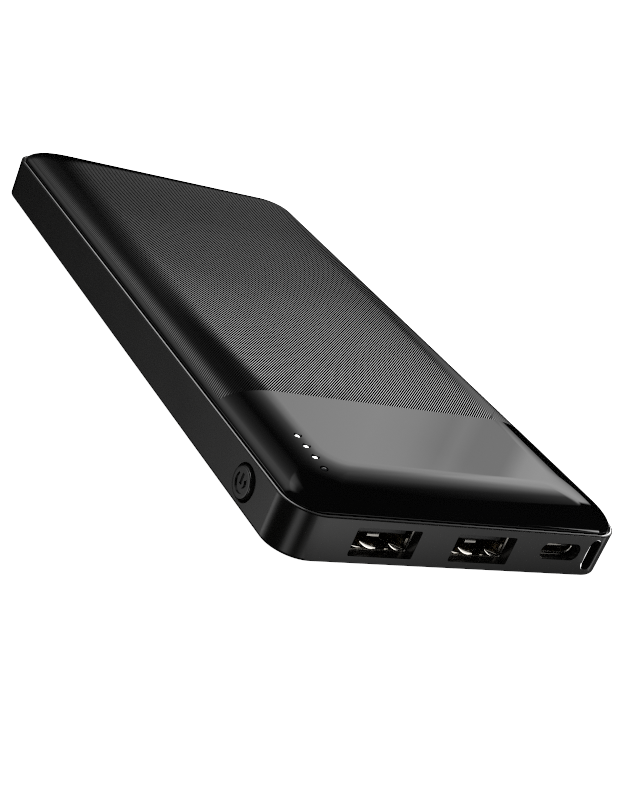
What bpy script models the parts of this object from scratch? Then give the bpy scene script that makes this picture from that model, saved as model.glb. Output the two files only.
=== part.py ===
"""Slim pocket power bank with two USB-A outlets and one USB-C port.

Frame: origin at the centre of the underside, +X across the width (the power
button is on the -X side), +Y along the length away from the ports, +Z up
through the curved cover. Dimensions below are millimetres, the model is metres.
"""
import bpy
import bmesh
from math import pi, cos, sin, radians
from mathutils import Matrix

MM = 0.001

# ---------------------------------------------------------------- envelope
WIDTH = 70.0            # X, over the band
LENGTH = 140.0          # Y, over the band
BAND_H = 8.4            # top of the band
HEIGHT = 12.2           # top of the cover
CORNER_R = 6.35         # plan radius of the four corners
FOOT_R = 0.6            # rounding between the underside and the band
RIM_R = 0.22            # small break on the band's top edge

# ---------------------------------------------------------------- case tray
WALL = 1.8              # band wall
FLOOR = 1.0             # tray floor
RIM_W = 0.55            # thin lip round the outside of the band's top
SHELF_Z = 7.9           # shelf that the cover's skirt stands on

# ---------------------------------------------------------------- cover
COVER_INSET = 0.85      # cover skirt, in from the band's outside
COVER_T = 1.3           # cover thickness
COVER_Z0 = 8.15         # bottom of the skirt
DOME_RUN = 9.9          # width of the curved border
DOME_EXP = 1.851        # superellipse exponent of the border's section
TOP_R = 4.5             # plan radius where the flat top starts
LIP_INSET = 2.1         # snap lip below the cover, outer face
LIP_T = 0.9
LIP_Z0 = 6.2

# ---------------------------------------------------------------- ports
FRONT = -LENGTH / 2
PORT_IN = FRONT + 2.0   # front edge of the connector shells
A_X = (-16.19, 3.97)    # centres of the two USB-A outlets
A_Z = 4.21
A_CUT = (12.6, 5.22)    # opening in the case
A_SHELL = (13.1, 5.72)  # outside of the shell
A_T = 0.3
A_LEN = 14.0
C_X, C_Z = 21.15, 4.78  # centre of the USB-C port
C_CUT = (9.0, 3.2)
C_SHELL = (8.94, 3.16)
C_T = 0.3
C_LEN = 7.35

# ---------------------------------------------------------------- button
BTN_Y, BTN_Z = -55.1, 4.15
BTN_HOLE_R = 3.10
BTN_R = 2.80
BTN_PROUD = 0.6
BTN_TRAVEL = 0.3

# ---------------------------------------------------------------- lamps
LAMP_X = -26.75
LAMP_Y = (-52.28, -55.42, -58.56, -61.70)
LAMP_HOLE_R = 0.70
LAMP_R = 0.50

# ---------------------------------------------------------------- strap slot
SLOT_X, SLOT_Z = 28.8, 4.45
SLOT_W, SLOT_H = 2.2, 5.7
SLOT_Y = -64.0

# ---------------------------------------------------------------- inside
PCB_Z0, PCB_Z1 = 2.3, 3.3
CELL_W, CELL_T, CELL_Y0, CELL_Y1 = 60.0, 3.95, -33.5, 64.5
SCREWS = ((-27.2, -45.2), (-6.1, -46.4), (28.6, -45.2))

# ================================================================ set-up
for ob in list(bpy.data.objects):
    bpy.data.objects.remove(ob, do_unlink=True)

scene = bpy.context.scene
PARTS = bpy.data.collections.new("power_bank")
CUTTERS = bpy.data.collections.new("power_bank_cutters")
scene.collection.children.link(PARTS)
scene.collection.children.link(CUTTERS)


def material(name, colour, rough, metal=0.0, clear=1.0):
    mat = bpy.data.materials.new(name)
    mat.use_nodes = True
    bsdf = mat.node_tree.nodes["Principled BSDF"]
    bsdf.inputs["Base Color"].default_value = (*colour, 1.0)
    bsdf.inputs["Roughness"].default_value = rough
    bsdf.inputs["Metallic"].default_value = metal
    bsdf.inputs["Alpha"].default_value = clear
    mat.diffuse_color = (*colour, 1.0)
    return mat


def add(name, mesh, mat, smooth=30):
    """Link a finished part mesh under its own name with its own material."""
    obj = bpy.data.objects.new(name, mesh)
    PARTS.objects.link(obj)
    mesh.materials.clear()
    mesh.materials.append(mat)
    if smooth:
        mesh.shade_smooth()
        mesh.set_sharp_from_angle(angle=radians(smooth))
    return obj


def cutter(name, mesh):
    obj = bpy.data.objects.new(name, mesh)
    CUTTERS.objects.link(obj)
    obj.hide_render = True
    obj.display_type = 'WIRE'
    return obj


def boolean(obj, other, op):
    mod = obj.modifiers.new(other.name, 'BOOLEAN')
    mod.operation = op
    mod.solver = 'EXACT'
    mod.object = other
    return mod


def to_mesh(bm, name):
    bmesh.ops.recalc_face_normals(bm, faces=bm.faces[:])
    mesh = bpy.data.meshes.new(name)
    bm.to_mesh(mesh)
    bm.free()
    return mesh


def put_box(bm, x0, x1, y0, y1, z0, z1):
    centre = ((x0 + x1) / 2 * MM, (y0 + y1) / 2 * MM, (z0 + z1) / 2 * MM)
    size = ((x1 - x0) * MM, (y1 - y0) * MM, (z1 - z0) * MM)
    made = bmesh.ops.create_cube(
        bm, size=1.0,
        matrix=Matrix.Translation(centre) @ Matrix.Diagonal((*size, 1.0)))
    return made["verts"]


def put_cyl(bm, x, y, z, r, depth, axis='Z', seg=24, r2=None):
    """Cylinder centred on x, y, z with its axis along X, Y or Z."""
    turn = {'Z': Matrix.Identity(4),
            'X': Matrix.Rotation(pi / 2, 4, 'Y'),
            'Y': Matrix.Rotation(-pi / 2, 4, 'X')}[axis]
    made = bmesh.ops.create_cone(
        bm, cap_ends=True, cap_tris=False, segments=seg,
        radius1=r * MM, radius2=(r if r2 is None else r2) * MM,
        depth=depth * MM,
        matrix=Matrix.Translation((x * MM, y * MM, z * MM)) @ turn)
    return made["verts"]


def edges_where(bm, test, verts=None):
    pool = None if verts is None else set(verts)
    out = []
    for e in bm.edges:
        a, b = e.verts
        if pool is not None and (a not in pool or b not in pool):
            continue
        if test(a.co / MM, b.co / MM):
            out.append(e)
    return out


def round_edges(bm, edges, r, seg):
    bmesh.ops.bevel(bm, geom=edges, offset=r * MM, offset_type='OFFSET',
                    segments=seg, profile=0.5, affect='EDGES',
                    clamp_overlap=True)


def along(axis):
    """Test for edges running along one axis."""
    i = 'XYZ'.index(axis)
    j, k = [n for n in range(3) if n != i]
    return lambda a, b: abs(a[j] - b[j]) < 1e-4 and abs(a[k] - b[k]) < 1e-4


def block(x0, x1, y0, y1, z0, z1, r=0.0, seg=3, axis='Z', low=0.0, high=0.0,
          edge_seg=2):
    """Box with its edges along one axis rounded, then its ends rounded."""
    bm = bmesh.new()
    put_box(bm, x0, x1, y0, y1, z0, z1)
    if r:
        round_edges(bm, edges_where(bm, along(axis)), r, seg)
    i = 'XYZ'.index(axis)
    ends = ((x0, x1), (y0, y1), (z0, z1))[i]
    if low:
        round_edges(bm, edges_where(
            bm, lambda a, b: abs(a[i] - ends[0]) < 1e-4 and abs(b[i] - ends[0]) < 1e-4),
            low, edge_seg)
    if high:
        round_edges(bm, edges_where(
            bm, lambda a, b: abs(a[i] - ends[1]) < 1e-4 and abs(b[i] - ends[1]) < 1e-4),
            high, edge_seg)
    return bm


def plate(inset, z0, z1, r, seg=8):
    """Rounded-rectangle block concentric with the band."""
    w, l = WIDTH / 2 - inset, LENGTH / 2 - inset
    return block(-w, w, -l, l, z0, z1, r, seg)


def pill(bm, x, y0, y1, z, w, h, seg=12):
    """Stadium-section block along Y, centred on x, z."""
    verts = put_box(bm, x - w / 2, x + w / 2, y0, y1, z - h / 2, z + h / 2)
    r = min(w, h) / 2 - 0.002
    round_edges(bm, edges_where(bm, along('Y'), verts), r, seg)


def strip(name, path, x, width, thick, mat):
    """Bent metal strip: a ribbon swept along X over a Y-Z path, then thickened."""
    bm = bmesh.new()
    left = [bm.verts.new(((x - width / 2) * MM, y * MM, z * MM)) for y, z in path]
    edges = [bm.edges.new(pair) for pair in zip(left, left[1:])]
    grown = bmesh.ops.extrude_edge_only(bm, edges=edges)
    moved = [g for g in grown["geom"] if isinstance(g, bmesh.types.BMVert)]
    bmesh.ops.translate(bm, verts=moved, vec=(width * MM, 0, 0))
    obj = add(name, to_mesh(bm, name), mat)
    mod = obj.modifiers.new("thickness", 'SOLIDIFY')
    mod.thickness = thick * MM
    mod.offset = 0.0
    mod.use_even_offset = True
    return obj


def turned(name, profile, x, y, mat, steps=16):
    """Solid of revolution about a vertical axis through x, y.

    The profile is (radius, z), given from the top end to the bottom end.
    """
    bm = bmesh.new()
    pts = [bm.verts.new((r * MM, 0, z * MM)) for r, z in profile]
    for pair in zip(pts, pts[1:]):
        bm.edges.new(pair)
    mesh = bpy.data.meshes.new(name)
    bm.to_mesh(mesh)
    bm.free()
    obj = add(name, mesh, mat, smooth=0)
    obj.location = (x * MM, y * MM, 0)
    mod = obj.modifiers.new("turn", 'SCREW')
    mod.axis = 'Z'
    mod.steps = steps
    mod.render_steps = steps
    mod.use_merge_vertices = True
    mod.merge_threshold = 0.00001
    mod.use_smooth_shade = True
    return obj


# ================================================================ materials
CASE_BLACK = material("case_black_satin", (0.012, 0.012, 0.011), 0.42)
COVER_BLACK = material("cover_black_gloss", (0.006, 0.006, 0.006), 0.10)
BUTTON_BLACK = material("button_black", (0.012, 0.012, 0.012), 0.35)
TONGUE_BLACK = material("connector_nylon", (0.010, 0.010, 0.010), 0.45)
PLATED = material("connector_plated_steel", (0.55, 0.54, 0.52), 0.22, 1.0)
GOLD = material("contact_gold", (0.80, 0.60, 0.28), 0.25, 1.0)
NICKEL = material("nickel_strip", (0.62, 0.60, 0.56), 0.35, 1.0)
BOARD = material("board_green", (0.015, 0.09, 0.035), 0.45)
POUCH = material("pouch_foil", (0.62, 0.63, 0.65), 0.38, 1.0)
TAPE = material("tape_white", (0.75, 0.75, 0.72), 0.7)
FOAM = material("foam_black", (0.03, 0.03, 0.03), 0.95)
RED = material("lead_red", (0.55, 0.02, 0.02), 0.5)
BLACK_LEAD = material("lead_black", (0.02, 0.02, 0.02), 0.5)
LED = material("led_package", (0.85, 0.84, 0.75), 0.4)
CLEAR = material("light_pipe_acrylic", (0.92, 0.94, 0.95), 0.08)
CHIP = material("chip_epoxy", (0.02, 0.02, 0.02), 0.5)
FERRITE = material("ferrite_grey", (0.10, 0.10, 0.10), 0.6)
CAN = material("capacitor_can", (0.70, 0.70, 0.72), 0.3, 1.0)
SCREW = material("screw_steel", (0.35, 0.35, 0.36), 0.3, 1.0)


# ================================================================ bottom case
w2, l2 = WIDTH / 2, LENGTH / 2
case_mesh = to_mesh(block(-w2, w2, -l2, l2, 0.0, BAND_H, CORNER_R, 10,
                          low=FOOT_R, high=RIM_R, edge_seg=3), "bottom_case")
bottom_case = add("bottom_case", case_mesh, CASE_BLACK, smooth=40)

boolean(bottom_case, cutter("cut_cavity", to_mesh(
    plate(WALL, FLOOR, BAND_H + 2, CORNER_R - WALL), "cut_cavity")), 'DIFFERENCE')
boolean(bottom_case, cutter("cut_rim", to_mesh(
    plate(RIM_W, SHELF_Z, BAND_H + 3, CORNER_R - RIM_W, 10), "cut_rim")), 'DIFFERENCE')

# corner block for the strap slot, battery stop, side stops and screw bosses
bm = bmesh.new()
put_box(bm, 26.3, 36.0, -71.0, -61.6, 0.5, 7.65)
corner = cutter("add_corner_block", to_mesh(bm, "add_corner_block"))
boolean(corner, cutter("keep_corner", to_mesh(
    plate(0.7, 0.2, 7.8, CORNER_R - 0.7), "keep_corner")), 'INTERSECT')
boolean(bottom_case, corner, 'UNION')

bm = bmesh.new()
put_box(bm, -28.0, 28.0, -35.6, -34.6, 0.5, 2.6)
for sx in (-1, 1):
    for y in (-8.0, 44.0):
        xs = sorted((sx * 30.6, sx * 34.0))
        put_box(bm, xs[0], xs[1], y - 1.5, y + 1.5, 0.5, 5.6)
for x, y in SCREWS:
    put_cyl(bm, x, y, (0.5 + 2.0) / 2, 1.9, 1.5, seg=20)
boolean(bottom_case, cutter("add_ribs", to_mesh(bm, "add_ribs")), 'UNION')

bm = bmesh.new()
for x, y in SCREWS:
    put_cyl(bm, x, y, (0.5 + 2.4) / 2, 0.95, 1.9, seg=16)
# two USB-A openings
for x in A_X:
    verts = put_box(bm, x - A_CUT[0] / 2, x + A_CUT[0] / 2, FRONT - 1, FRONT + 3,
                    A_Z - A_CUT[1] / 2, A_Z + A_CUT[1] / 2)
    round_edges(bm, edges_where(bm, along('Y'), verts), 0.35, 2)
# USB-C opening
pill(bm, C_X, FRONT - 1, FRONT + 3, C_Z, C_CUT[0], C_CUT[1], seg=10)
# hole for the power button
put_cyl(bm, -w2, BTN_Y, BTN_Z, BTN_HOLE_R, 6.0, 'X', seg=40)
# snap pockets in the inside of the long walls
for sx in (-1, 1):
    for y in (-30.0, 12.0, 54.0):
        xs = sorted((sx * (w2 - WALL - 0.6), sx * (w2 - WALL + 0.75)))
        put_box(bm, xs[0], xs[1], y - 3.4, y + 3.4, 5.95, 7.0)
boolean(bottom_case, cutter("cut_holes", to_mesh(bm, "cut_holes")), 'DIFFERENCE')

# strap slot: in at the front face, out at the side, round the corner post
bm = bmesh.new()
pill(bm, SLOT_X, FRONT - 1, SLOT_Y + SLOT_W / 2, SLOT_Z, SLOT_W, SLOT_H, seg=8)
boolean(bottom_case, cutter("cut_slot_front", to_mesh(bm, "cut_slot_front")), 'DIFFERENCE')
bm = bmesh.new()
verts = put_box(bm, SLOT_X - SLOT_W / 2 + 0.3, w2 + 1, SLOT_Y - SLOT_W / 2, SLOT_Y + SLOT_W / 2,
                SLOT_Z - SLOT_H / 2, SLOT_Z + SLOT_H / 2)
round_edges(bm, edges_where(bm, along('X'), verts), SLOT_W / 2 - 0.002, 8)
boolean(bottom_case, cutter("cut_slot_side", to_mesh(bm, "cut_slot_side")), 'DIFFERENCE')


# ================================================================ top cover
def ring(inset, z, r, seg=7):
    """Points of a rounded rectangle, one corner after another."""
    w, l = WIDTH / 2 - inset, LENGTH / 2 - inset
    pts = []
    for cx, cy, a0 in ((w - r, l - r, 0), (-w + r, l - r, 90),
                       (-w + r, -l + r, 180), (w - r, -l + r, 270)):
        for i in range(seg + 1):
            a = radians(a0 + 90 * i / seg)
            pts.append(((cx + r * cos(a)) * MM, (cy + r * sin(a)) * MM, z * MM))
    return pts


def dome_ring(t):
    """Section of the curved border at parameter t, 0 at the rim, 1 at the top."""
    h = 1 - cos(t * pi / 2) ** (2 / DOME_EXP)
    v = sin(t * pi / 2) ** (2 / DOME_EXP)
    r = (CORNER_R - COVER_INSET) * (1 - h) + TOP_R * h
    return ring(COVER_INSET + DOME_RUN * h, BAND_H + (HEIGHT - BAND_H) * v, r)


bm = bmesh.new()
levels = [ring(COVER_INSET, COVER_Z0, CORNER_R - COVER_INSET)]
levels += [dome_ring(i / 7) for i in range(8)]
rows = [[bm.verts.new(p) for p in level] for level in levels]
n = len(rows[0])
for low, high in zip(rows, rows[1:]):
    for i in range(n):
        bm.faces.new((low[i], low[(i + 1) % n], high[(i + 1) % n], high[i]))
bm.faces.new(rows[-1])
top_cover = add("top_cover", to_mesh(bm, "top_cover"), COVER_BLACK, smooth=40)
mod = top_cover.modifiers.new("thickness", 'SOLIDIFY')
mod.thickness = COVER_T * MM
mod.offset = -1.0
mod.use_even_offset = True
mod.use_quality_normals = True

# snap lip: an open wall, thickened inwards
bm = bmesh.new()
low = [bm.verts.new(p) for p in ring(LIP_INSET, LIP_Z0, CORNER_R - LIP_INSET, 6)]
high = [bm.verts.new(p) for p in ring(LIP_INSET, BAND_H + 0.75, CORNER_R - LIP_INSET, 6)]
n = len(low)
for i in range(n):
    bm.faces.new((low[i], low[(i + 1) % n], high[(i + 1) % n], high[i]))
lip = cutter("add_lip", to_mesh(bm, "add_lip"))
mod = lip.modifiers.new("thickness", 'SOLIDIFY')
mod.thickness = LIP_T * MM
mod.offset = -1.0
mod.use_even_offset = True
boolean(top_cover, lip, 'UNION')

bm = bmesh.new()
for sx in (-1, 1):
    for y in (-30.0, 12.0, 54.0):
        xs = sorted((sx * (w2 - LIP_INSET - 0.4), sx * (w2 - LIP_INSET + 0.45)))
        put_box(bm, xs[0], xs[1], y - 3.0, y + 3.0, 6.3, 6.75)
boolean(top_cover, cutter("add_snaps", to_mesh(bm, "add_snaps")), 'UNION')

bm = bmesh.new()
put_box(bm, -24.2, 25.9, -69.0, -65.6, 5.5, 7.4)          # over the ports
put_box(bm, 25.95, 34.0, -69.0, -61.2, 5.5, 7.98)         # over the corner block
put_box(bm, -34.0, -31.0, BTN_Y - 5.4, BTN_Y + 5.4, 5.5, 7.3)   # behind the button
for y in LAMP_Y:
    put_cyl(bm, LAMP_X, y, 11.5, LAMP_HOLE_R, 4.0, seg=20)
boolean(top_cover, cutter("cut_cover", to_mesh(bm, "cut_cover")), 'DIFFERENCE')


# ================================================================ power button
# built round the joint origin, on the button's axis at the band's face
bm = bmesh.new()
x_out, x_in = -BTN_PROUD, 2.05
verts = put_cyl(bm, (x_out + x_in) / 2, 0, 0, BTN_R, x_in - x_out, 'X', seg=40)
round_edges(bm, edges_where(bm, lambda a, b: abs(a[0] - x_out) < 1e-4
                            and abs(b[0] - x_out) < 1e-4, verts), 0.28, 3)
button = add("power_button", to_mesh(bm, "power_button"), BUTTON_BLACK)
button.location = (-w2 * MM, BTN_Y * MM, BTN_Z * MM)
bm = bmesh.new()
put_box(bm, 2.0, 2.75, -4.6, 4.6, -2.45, 2.45)
flange = cutter("add_flange", to_mesh(bm, "add_flange"))
flange.location = button.location
boolean(button, flange, 'UNION')
bm = bmesh.new()
put_cyl(bm, 3.0, 0, 0, 0.6, 0.8, 'X', seg=16)
stem = cutter("add_stem", to_mesh(bm, "add_stem"))
stem.location = button.location
boolean(button, stem, 'UNION')

# engraved on/off mark: an open ring and a bar
curve = bpy.data.curves.new("mark", 'CURVE')
curve.dimensions = '3D'
curve.bevel_depth = 0.16 * MM
curve.bevel_resolution = 1
curve.use_fill_caps = True
spline = curve.splines.new('POLY')
arc = [radians(a) for a in range(40, 321, 20)]
spline.points.add(len(arc) - 1)
for p, a in zip(spline.points, arc):
    p.co = ((x_out + 0.02) * MM, -1.35 * sin(a) * MM, 1.35 * cos(a) * MM, 1)
mark_curve = bpy.data.objects.new("mark_curve", curve)
CUTTERS.objects.link(mark_curve)
dg = bpy.context.evaluated_depsgraph_get()
mark_mesh = bpy.data.meshes.new_from_object(mark_curve.evaluated_get(dg))
bm = bmesh.new()
bm.from_mesh(mark_mesh)
bmesh.ops.remove_doubles(bm, verts=bm.verts[:], dist=0.00001)
put_box(bm, x_out - 0.15, x_out + 0.15, -0.15, 0.15, 0.35, 1.6)
mark = cutter("cut_mark", to_mesh(bm, "cut_mark"))
mark.location = button.location
bpy.data.objects.remove(mark_curve, do_unlink=True)
boolean(button, mark, 'DIFFERENCE')


# ================================================================ tact switch
SW_X0, SW_X1 = -30.9, -28.75
bm = bmesh.new()
put_box(bm, SW_X0, SW_X1, BTN_Y - 2.35, BTN_Y + 2.35, PCB_Z1 + 0.1, 5.0)
switch = add("tact_switch_body", to_mesh(bm, "tact_switch_body"), TONGUE_BLACK, 0)
bm = bmesh.new()
put_box(bm, SW_X0 - 1, -29.75, BTN_Y - 1.35, BTN_Y + 1.35, 3.7, 4.7)
boolean(switch, cutter("cut_switch", to_mesh(bm, "cut_switch")), 'DIFFERENCE')

plunger = add("tact_switch_plunger", to_mesh(
    block(-0.65, 0.65, -1.05, 1.05, -0.28, 0.28, 0.15, 1), "tact_switch_plunger"), TONGUE_BLACK)
plunger.location = (-30.75 * MM, BTN_Y * MM, 4.18 * MM)

bm = bmesh.new()
put_box(bm, SW_X0, SW_X1, BTN_Y - 2.65, BTN_Y + 2.65, 3.6, 5.3)
frame = add("tact_switch_frame", to_mesh(bm, "tact_switch_frame"), PLATED, 0)
bm = bmesh.new()
put_box(bm, SW_X0 - 1, SW_X1 + 1, BTN_Y - 2.48, BTN_Y + 2.48, 3.0, 5.12)
boolean(frame, cutter("cut_switch_frame", to_mesh(bm, "cut_switch_frame")), 'DIFFERENCE')


# ================================================================ main board
board = add("main_board", to_mesh(block(-31.6, 32.6, -67.6, -41.2, PCB_Z0, PCB_Z1, 4.0, 4),
                                  "main_board"), BOARD, 0)
bm = bmesh.new()
for x in A_X:
    put_box(bm, x - 6.85, x + 6.85, -69, -53.7, 1.5, 4.5)
put_box(bm, C_X - 4.75, C_X + 4.75, -69, -60.3, 1.5, 4.5)
for x, y in SCREWS:
    put_cyl(bm, x, y, 3.0, 1.1, 3.0, seg=16)
boolean(board, cutter("cut_board", to_mesh(bm, "cut_board")), 'DIFFERENCE')
bm = bmesh.new()
put_box(bm, 25.4, 34, -69.5, -61.2, 1.4, 4.6)
boolean(board, cutter("cut_board_corner", to_mesh(bm, "cut_board_corner")), 'DIFFERENCE')


# ================================================================ USB-A outlets
CONTACT_X = (-3.5, -1.0, 1.0, 3.5)
CONTACT_PATH = [(-66.4, 4.02), (-65.5, 3.74), (-64.3, 3.62), (-62.6, 3.74),
                (-60.2, 3.92), (-53.6, 3.92), (-53.2, 3.6), (-52.2, 3.56)]
for side, x in zip(("left", "right"), A_X):
    w, h = A_SHELL
    name = "usb_a_%s_shell" % side
    shell = add(name, to_mesh(block(x - w / 2, x + w / 2, PORT_IN, PORT_IN + A_LEN,
                                    A_Z - h / 2, A_Z + h / 2, 0.6, 3, 'Y'), name), PLATED)
    boolean(shell, cutter("cut_" + name, to_mesh(
        block(x - w / 2 + A_T, x + w / 2 - A_T, PORT_IN - 1, PORT_IN + A_LEN + 1,
              A_Z - h / 2 + A_T, A_Z + h / 2 - A_T, 0.35, 3, 'Y'), "cut_" + name)), 'DIFFERENCE')

    name = "usb_a_%s_insert" % side
    bm = bmesh.new()
    put_box(bm, x - 6.05, x + 6.05, -57.2, -54.4, 1.85, 6.57)
    insert = add(name, to_mesh(bm, name), TONGUE_BLACK, 0)
    bm = block(x - 5.55, x + 5.55, -67.1, -56.5, 4.22, 6.06, 0.25, 2, 'X')
    boolean(insert, cutter("add_" + name, to_mesh(bm, "add_" + name)), 'UNION')
    bm = bmesh.new()
    put_box(bm, x - 4.4, x + 4.4, -58.0, -54.0, 3.5, 4.205)
    boolean(insert, cutter("cut_" + name, to_mesh(bm, "cut_" + name)), 'DIFFERENCE')

    for i, dx in enumerate(CONTACT_X):
        strip("usb_a_%s_contact_%d" % (side, i + 1), CONTACT_PATH, x + dx, 1.0, 0.2, GOLD)


# ================================================================ USB-C port
bm = bmesh.new()
pill(bm, C_X, PORT_IN, PORT_IN + C_LEN, C_Z, C_SHELL[0], C_SHELL[1], seg=8)
c_shell = add("usb_c_shell", to_mesh(bm, "usb_c_shell"), PLATED)
bm = bmesh.new()
pill(bm, C_X, PORT_IN - 1, PORT_IN + C_LEN + 1, C_Z,
     C_SHELL[0] - 2 * C_T, C_SHELL[1] - 2 * C_T, seg=8)
boolean(c_shell, cutter("cut_usb_c_shell", to_mesh(bm, "cut_usb_c_shell")), 'DIFFERENCE')

bm = bmesh.new()
pill(bm, C_X, -62.3, -61.0, C_Z, 7.9, 2.2, seg=6)
c_insert = add("usb_c_insert", to_mesh(bm, "usb_c_insert"), TONGUE_BLACK)
boolean(c_insert, cutter("add_usb_c_tongue", to_mesh(
    block(C_X - 3.35, C_X + 3.35, -67.7, -61.6, C_Z - 0.35, C_Z + 0.35, 0.15, 2, 'X'),
    "add_usb_c_tongue")), 'UNION')


# ================================================================ battery
for name, z0 in (("battery_cell_lower", 1.2), ("battery_cell_upper", 5.6)):
    add(name, to_mesh(block(-CELL_W / 2, CELL_W / 2, CELL_Y0, CELL_Y1, z0, z0 + CELL_T,
                            1.6, 3, 'Y', low=0.5, high=0.5, edge_seg=1), name), POUCH, 40)
add("battery_tape", to_mesh(block(-22, 22, -24, 58, 5.3, 5.5, 1.0, 2), "battery_tape"), TAPE, 0)
add("foam_pad", to_mesh(block(-20, 20, -20, 52, 9.7, 10.6, 1.5, 3), "foam_pad"), FOAM, 0)

for tag, sx in (("positive", -1), ("negative", 1)):
    strip("cell_tab_lower_" + tag, [(-33.75, 3.2), (-35.2, 3.2), (-36.7, 5.3), (-39.4, 5.3)],
          sx * 6.0, 5.0, 0.2, NICKEL)
    strip("cell_tab_upper_" + tag, [(-33.75, 7.6), (-35.2, 7.6), (-36.4, 6.8), (-39.4, 6.8)],
          sx * 6.0, 5.0, 0.2, NICKEL)
add("protection_board", to_mesh(block(-15, 15, -40.4, -36.9, 5.65, 6.45, 0.5, 2),
                                "protection_board"), BOARD, 0)


def lead(name, x, mat):
    """Short insulated wire from the protection board down to the main board."""
    key = [(-40.8, 6.05), (-41.6, 6.0), (-42.5, 5.5), (-43.2, 4.75), (-44.0, 4.25), (-45.4, 4.15)]
    pts = []
    ext = [key[0]] + key + [key[-1]]
    for i in range(1, len(ext) - 2):
        p0, p1, p2, p3 = ext[i - 1:i + 3]
        for s in range(3):
            t = s / 3
            pts.append(tuple(0.5 * (2 * p1[k] + (p2[k] - p0[k]) * t
                                    + (2 * p0[k] - 5 * p1[k] + 4 * p2[k] - p3[k]) * t * t
                                    + (3 * p1[k] - p0[k] - 3 * p2[k] + p3[k]) * t ** 3)
                             for k in range(2)))
    pts.append(key[-1])
    data = bpy.data.curves.new(name, 'CURVE')
    data.dimensions = '3D'
    data.bevel_depth = 0.65 * MM
    data.bevel_resolution = 2
    data.use_fill_caps = True
    sp = data.splines.new('POLY')
    sp.points.add(len(pts) - 1)
    for p, (y, z) in zip(sp.points, pts):
        p.co = (x * MM, y * MM, z * MM, 1)
    obj = bpy.data.objects.new(name, data)
    data.materials.append(mat)
    PARTS.objects.link(obj)
    return obj


lead("red_lead", -9.7, RED)
lead("black_lead", 11.0, BLACK_LEAD)


# ================================================================ lamps
for i, y in enumerate(LAMP_Y):
    add("led_%d" % (i + 1), to_mesh(block(LAMP_X - 0.8, LAMP_X + 0.8, y - 0.4, y + 0.4,
                                          PCB_Z1 + 0.1, 4.0, 0.1, 1), "led_%d" % (i + 1)), LED, 0)
    turned("light_pipe_%d" % (i + 1),
           [(0.0, 11.93), (0.30, 11.90), (LAMP_R, 11.76), (LAMP_R, 10.5), (0.85, 10.2),
            (0.85, 4.4), (0.0, 4.4)], LAMP_X, y, CLEAR)
bm = block(LAMP_X - 1.6, LAMP_X + 1.5, LAMP_Y[3] - 2.0, LAMP_Y[0] + 1.9, PCB_Z1 + 0.1, 10.0, 0.4, 2)
holder = add("light_pipe_holder", to_mesh(bm, "light_pipe_holder"), TONGUE_BLACK, 0)
bm = bmesh.new()
for y in LAMP_Y:
    put_cyl(bm, LAMP_X, y, 7.0, 1.15, 12.0, seg=20)
boolean(holder, cutter("cut_holder", to_mesh(bm, "cut_holder")), 'DIFFERENCE')


# ================================================================ board parts
add("boost_inductor", to_mesh(block(-19.9, -13.1, -50.3, -43.5, PCB_Z1 + 0.1, 6.6, 0.8, 3,
                                    high=0.3, edge_seg=1), "boost_inductor"), FERRITE)
add("boost_chip", to_mesh(block(13.4, 18.4, -51.5, -46.5, PCB_Z1 + 0.1, 4.3, 0.15, 1),
                          "boost_chip"), CHIP, 0)
add("charge_chip", to_mesh(block(21.6, 25.6, -52.0, -48.0, PCB_Z1 + 0.1, 4.2, 0.15, 1),
                           "charge_chip"), CHIP, 0)
for i, x in enumerate((0.4, 6.3)):
    turned("capacitor_%d" % (i + 1),
           [(0.0, 8.6), (2.25, 8.6), (2.5, 8.35), (2.5, 4.5), (2.35, 4.35), (2.35, 4.2),
            (2.5, 4.05), (2.5, 3.4), (0.0, 3.4)], x, -46.4, CAN, steps=20)

for i, (x, y) in enumerate(SCREWS):
    name = "board_screw_%d" % (i + 1)
    bm = bmesh.new()
    put_cyl(bm, 0, 0, (0.7 + 3.6) / 2, 0.72, 2.9, seg=16)
    shank = add(name, to_mesh(bm, name), SCREW)
    shank.location = (x * MM, y * MM, 0)
    bm = bmesh.new()
    verts = put_cyl(bm, 0, 0, (3.4 + 4.3) / 2, 1.5, 0.9, seg=20)
    round_edges(bm, edges_where(bm, lambda a, b: abs(a[2] - 4.3) < 1e-4
                                and abs(b[2] - 4.3) < 1e-4, verts), 0.35, 2)
    head = cutter("add_head_%d" % (i + 1), to_mesh(bm, "add_head"))
    head.location = shank.location
    boolean(shank, head, 'UNION')
    bm = bmesh.new()
    put_box(bm, -0.85, 0.85, -0.16, 0.16, 3.85, 4.6)
    cross = cutter("cut_head_%d" % (i + 1), to_mesh(bm, "cut_head"))
    bm = bmesh.new()
    put_box(bm, -0.16, 0.16, -0.85, 0.85, 3.85, 4.6)
    other = cutter("add_cross_%d" % (i + 1), to_mesh(bm, "add_cross"))
    boolean(cross, other, 'UNION')
    cross.location = shank.location
    other.location = shank.location
    boolean(shank, cross, 'DIFFERENCE')
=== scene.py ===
"""Looks of the slim pocket power bank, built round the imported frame.

Numbers in the shape functions are millimetres in the frame's own axes: +X across
the width, +Y away from the ports, +Z up. Objects are in metres.
"""
from math import pi, sin, cos, tan, radians, sqrt, degrees, atan2

import bmesh
import bpy
import numpy as np
from mathutils import Matrix, Vector


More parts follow.
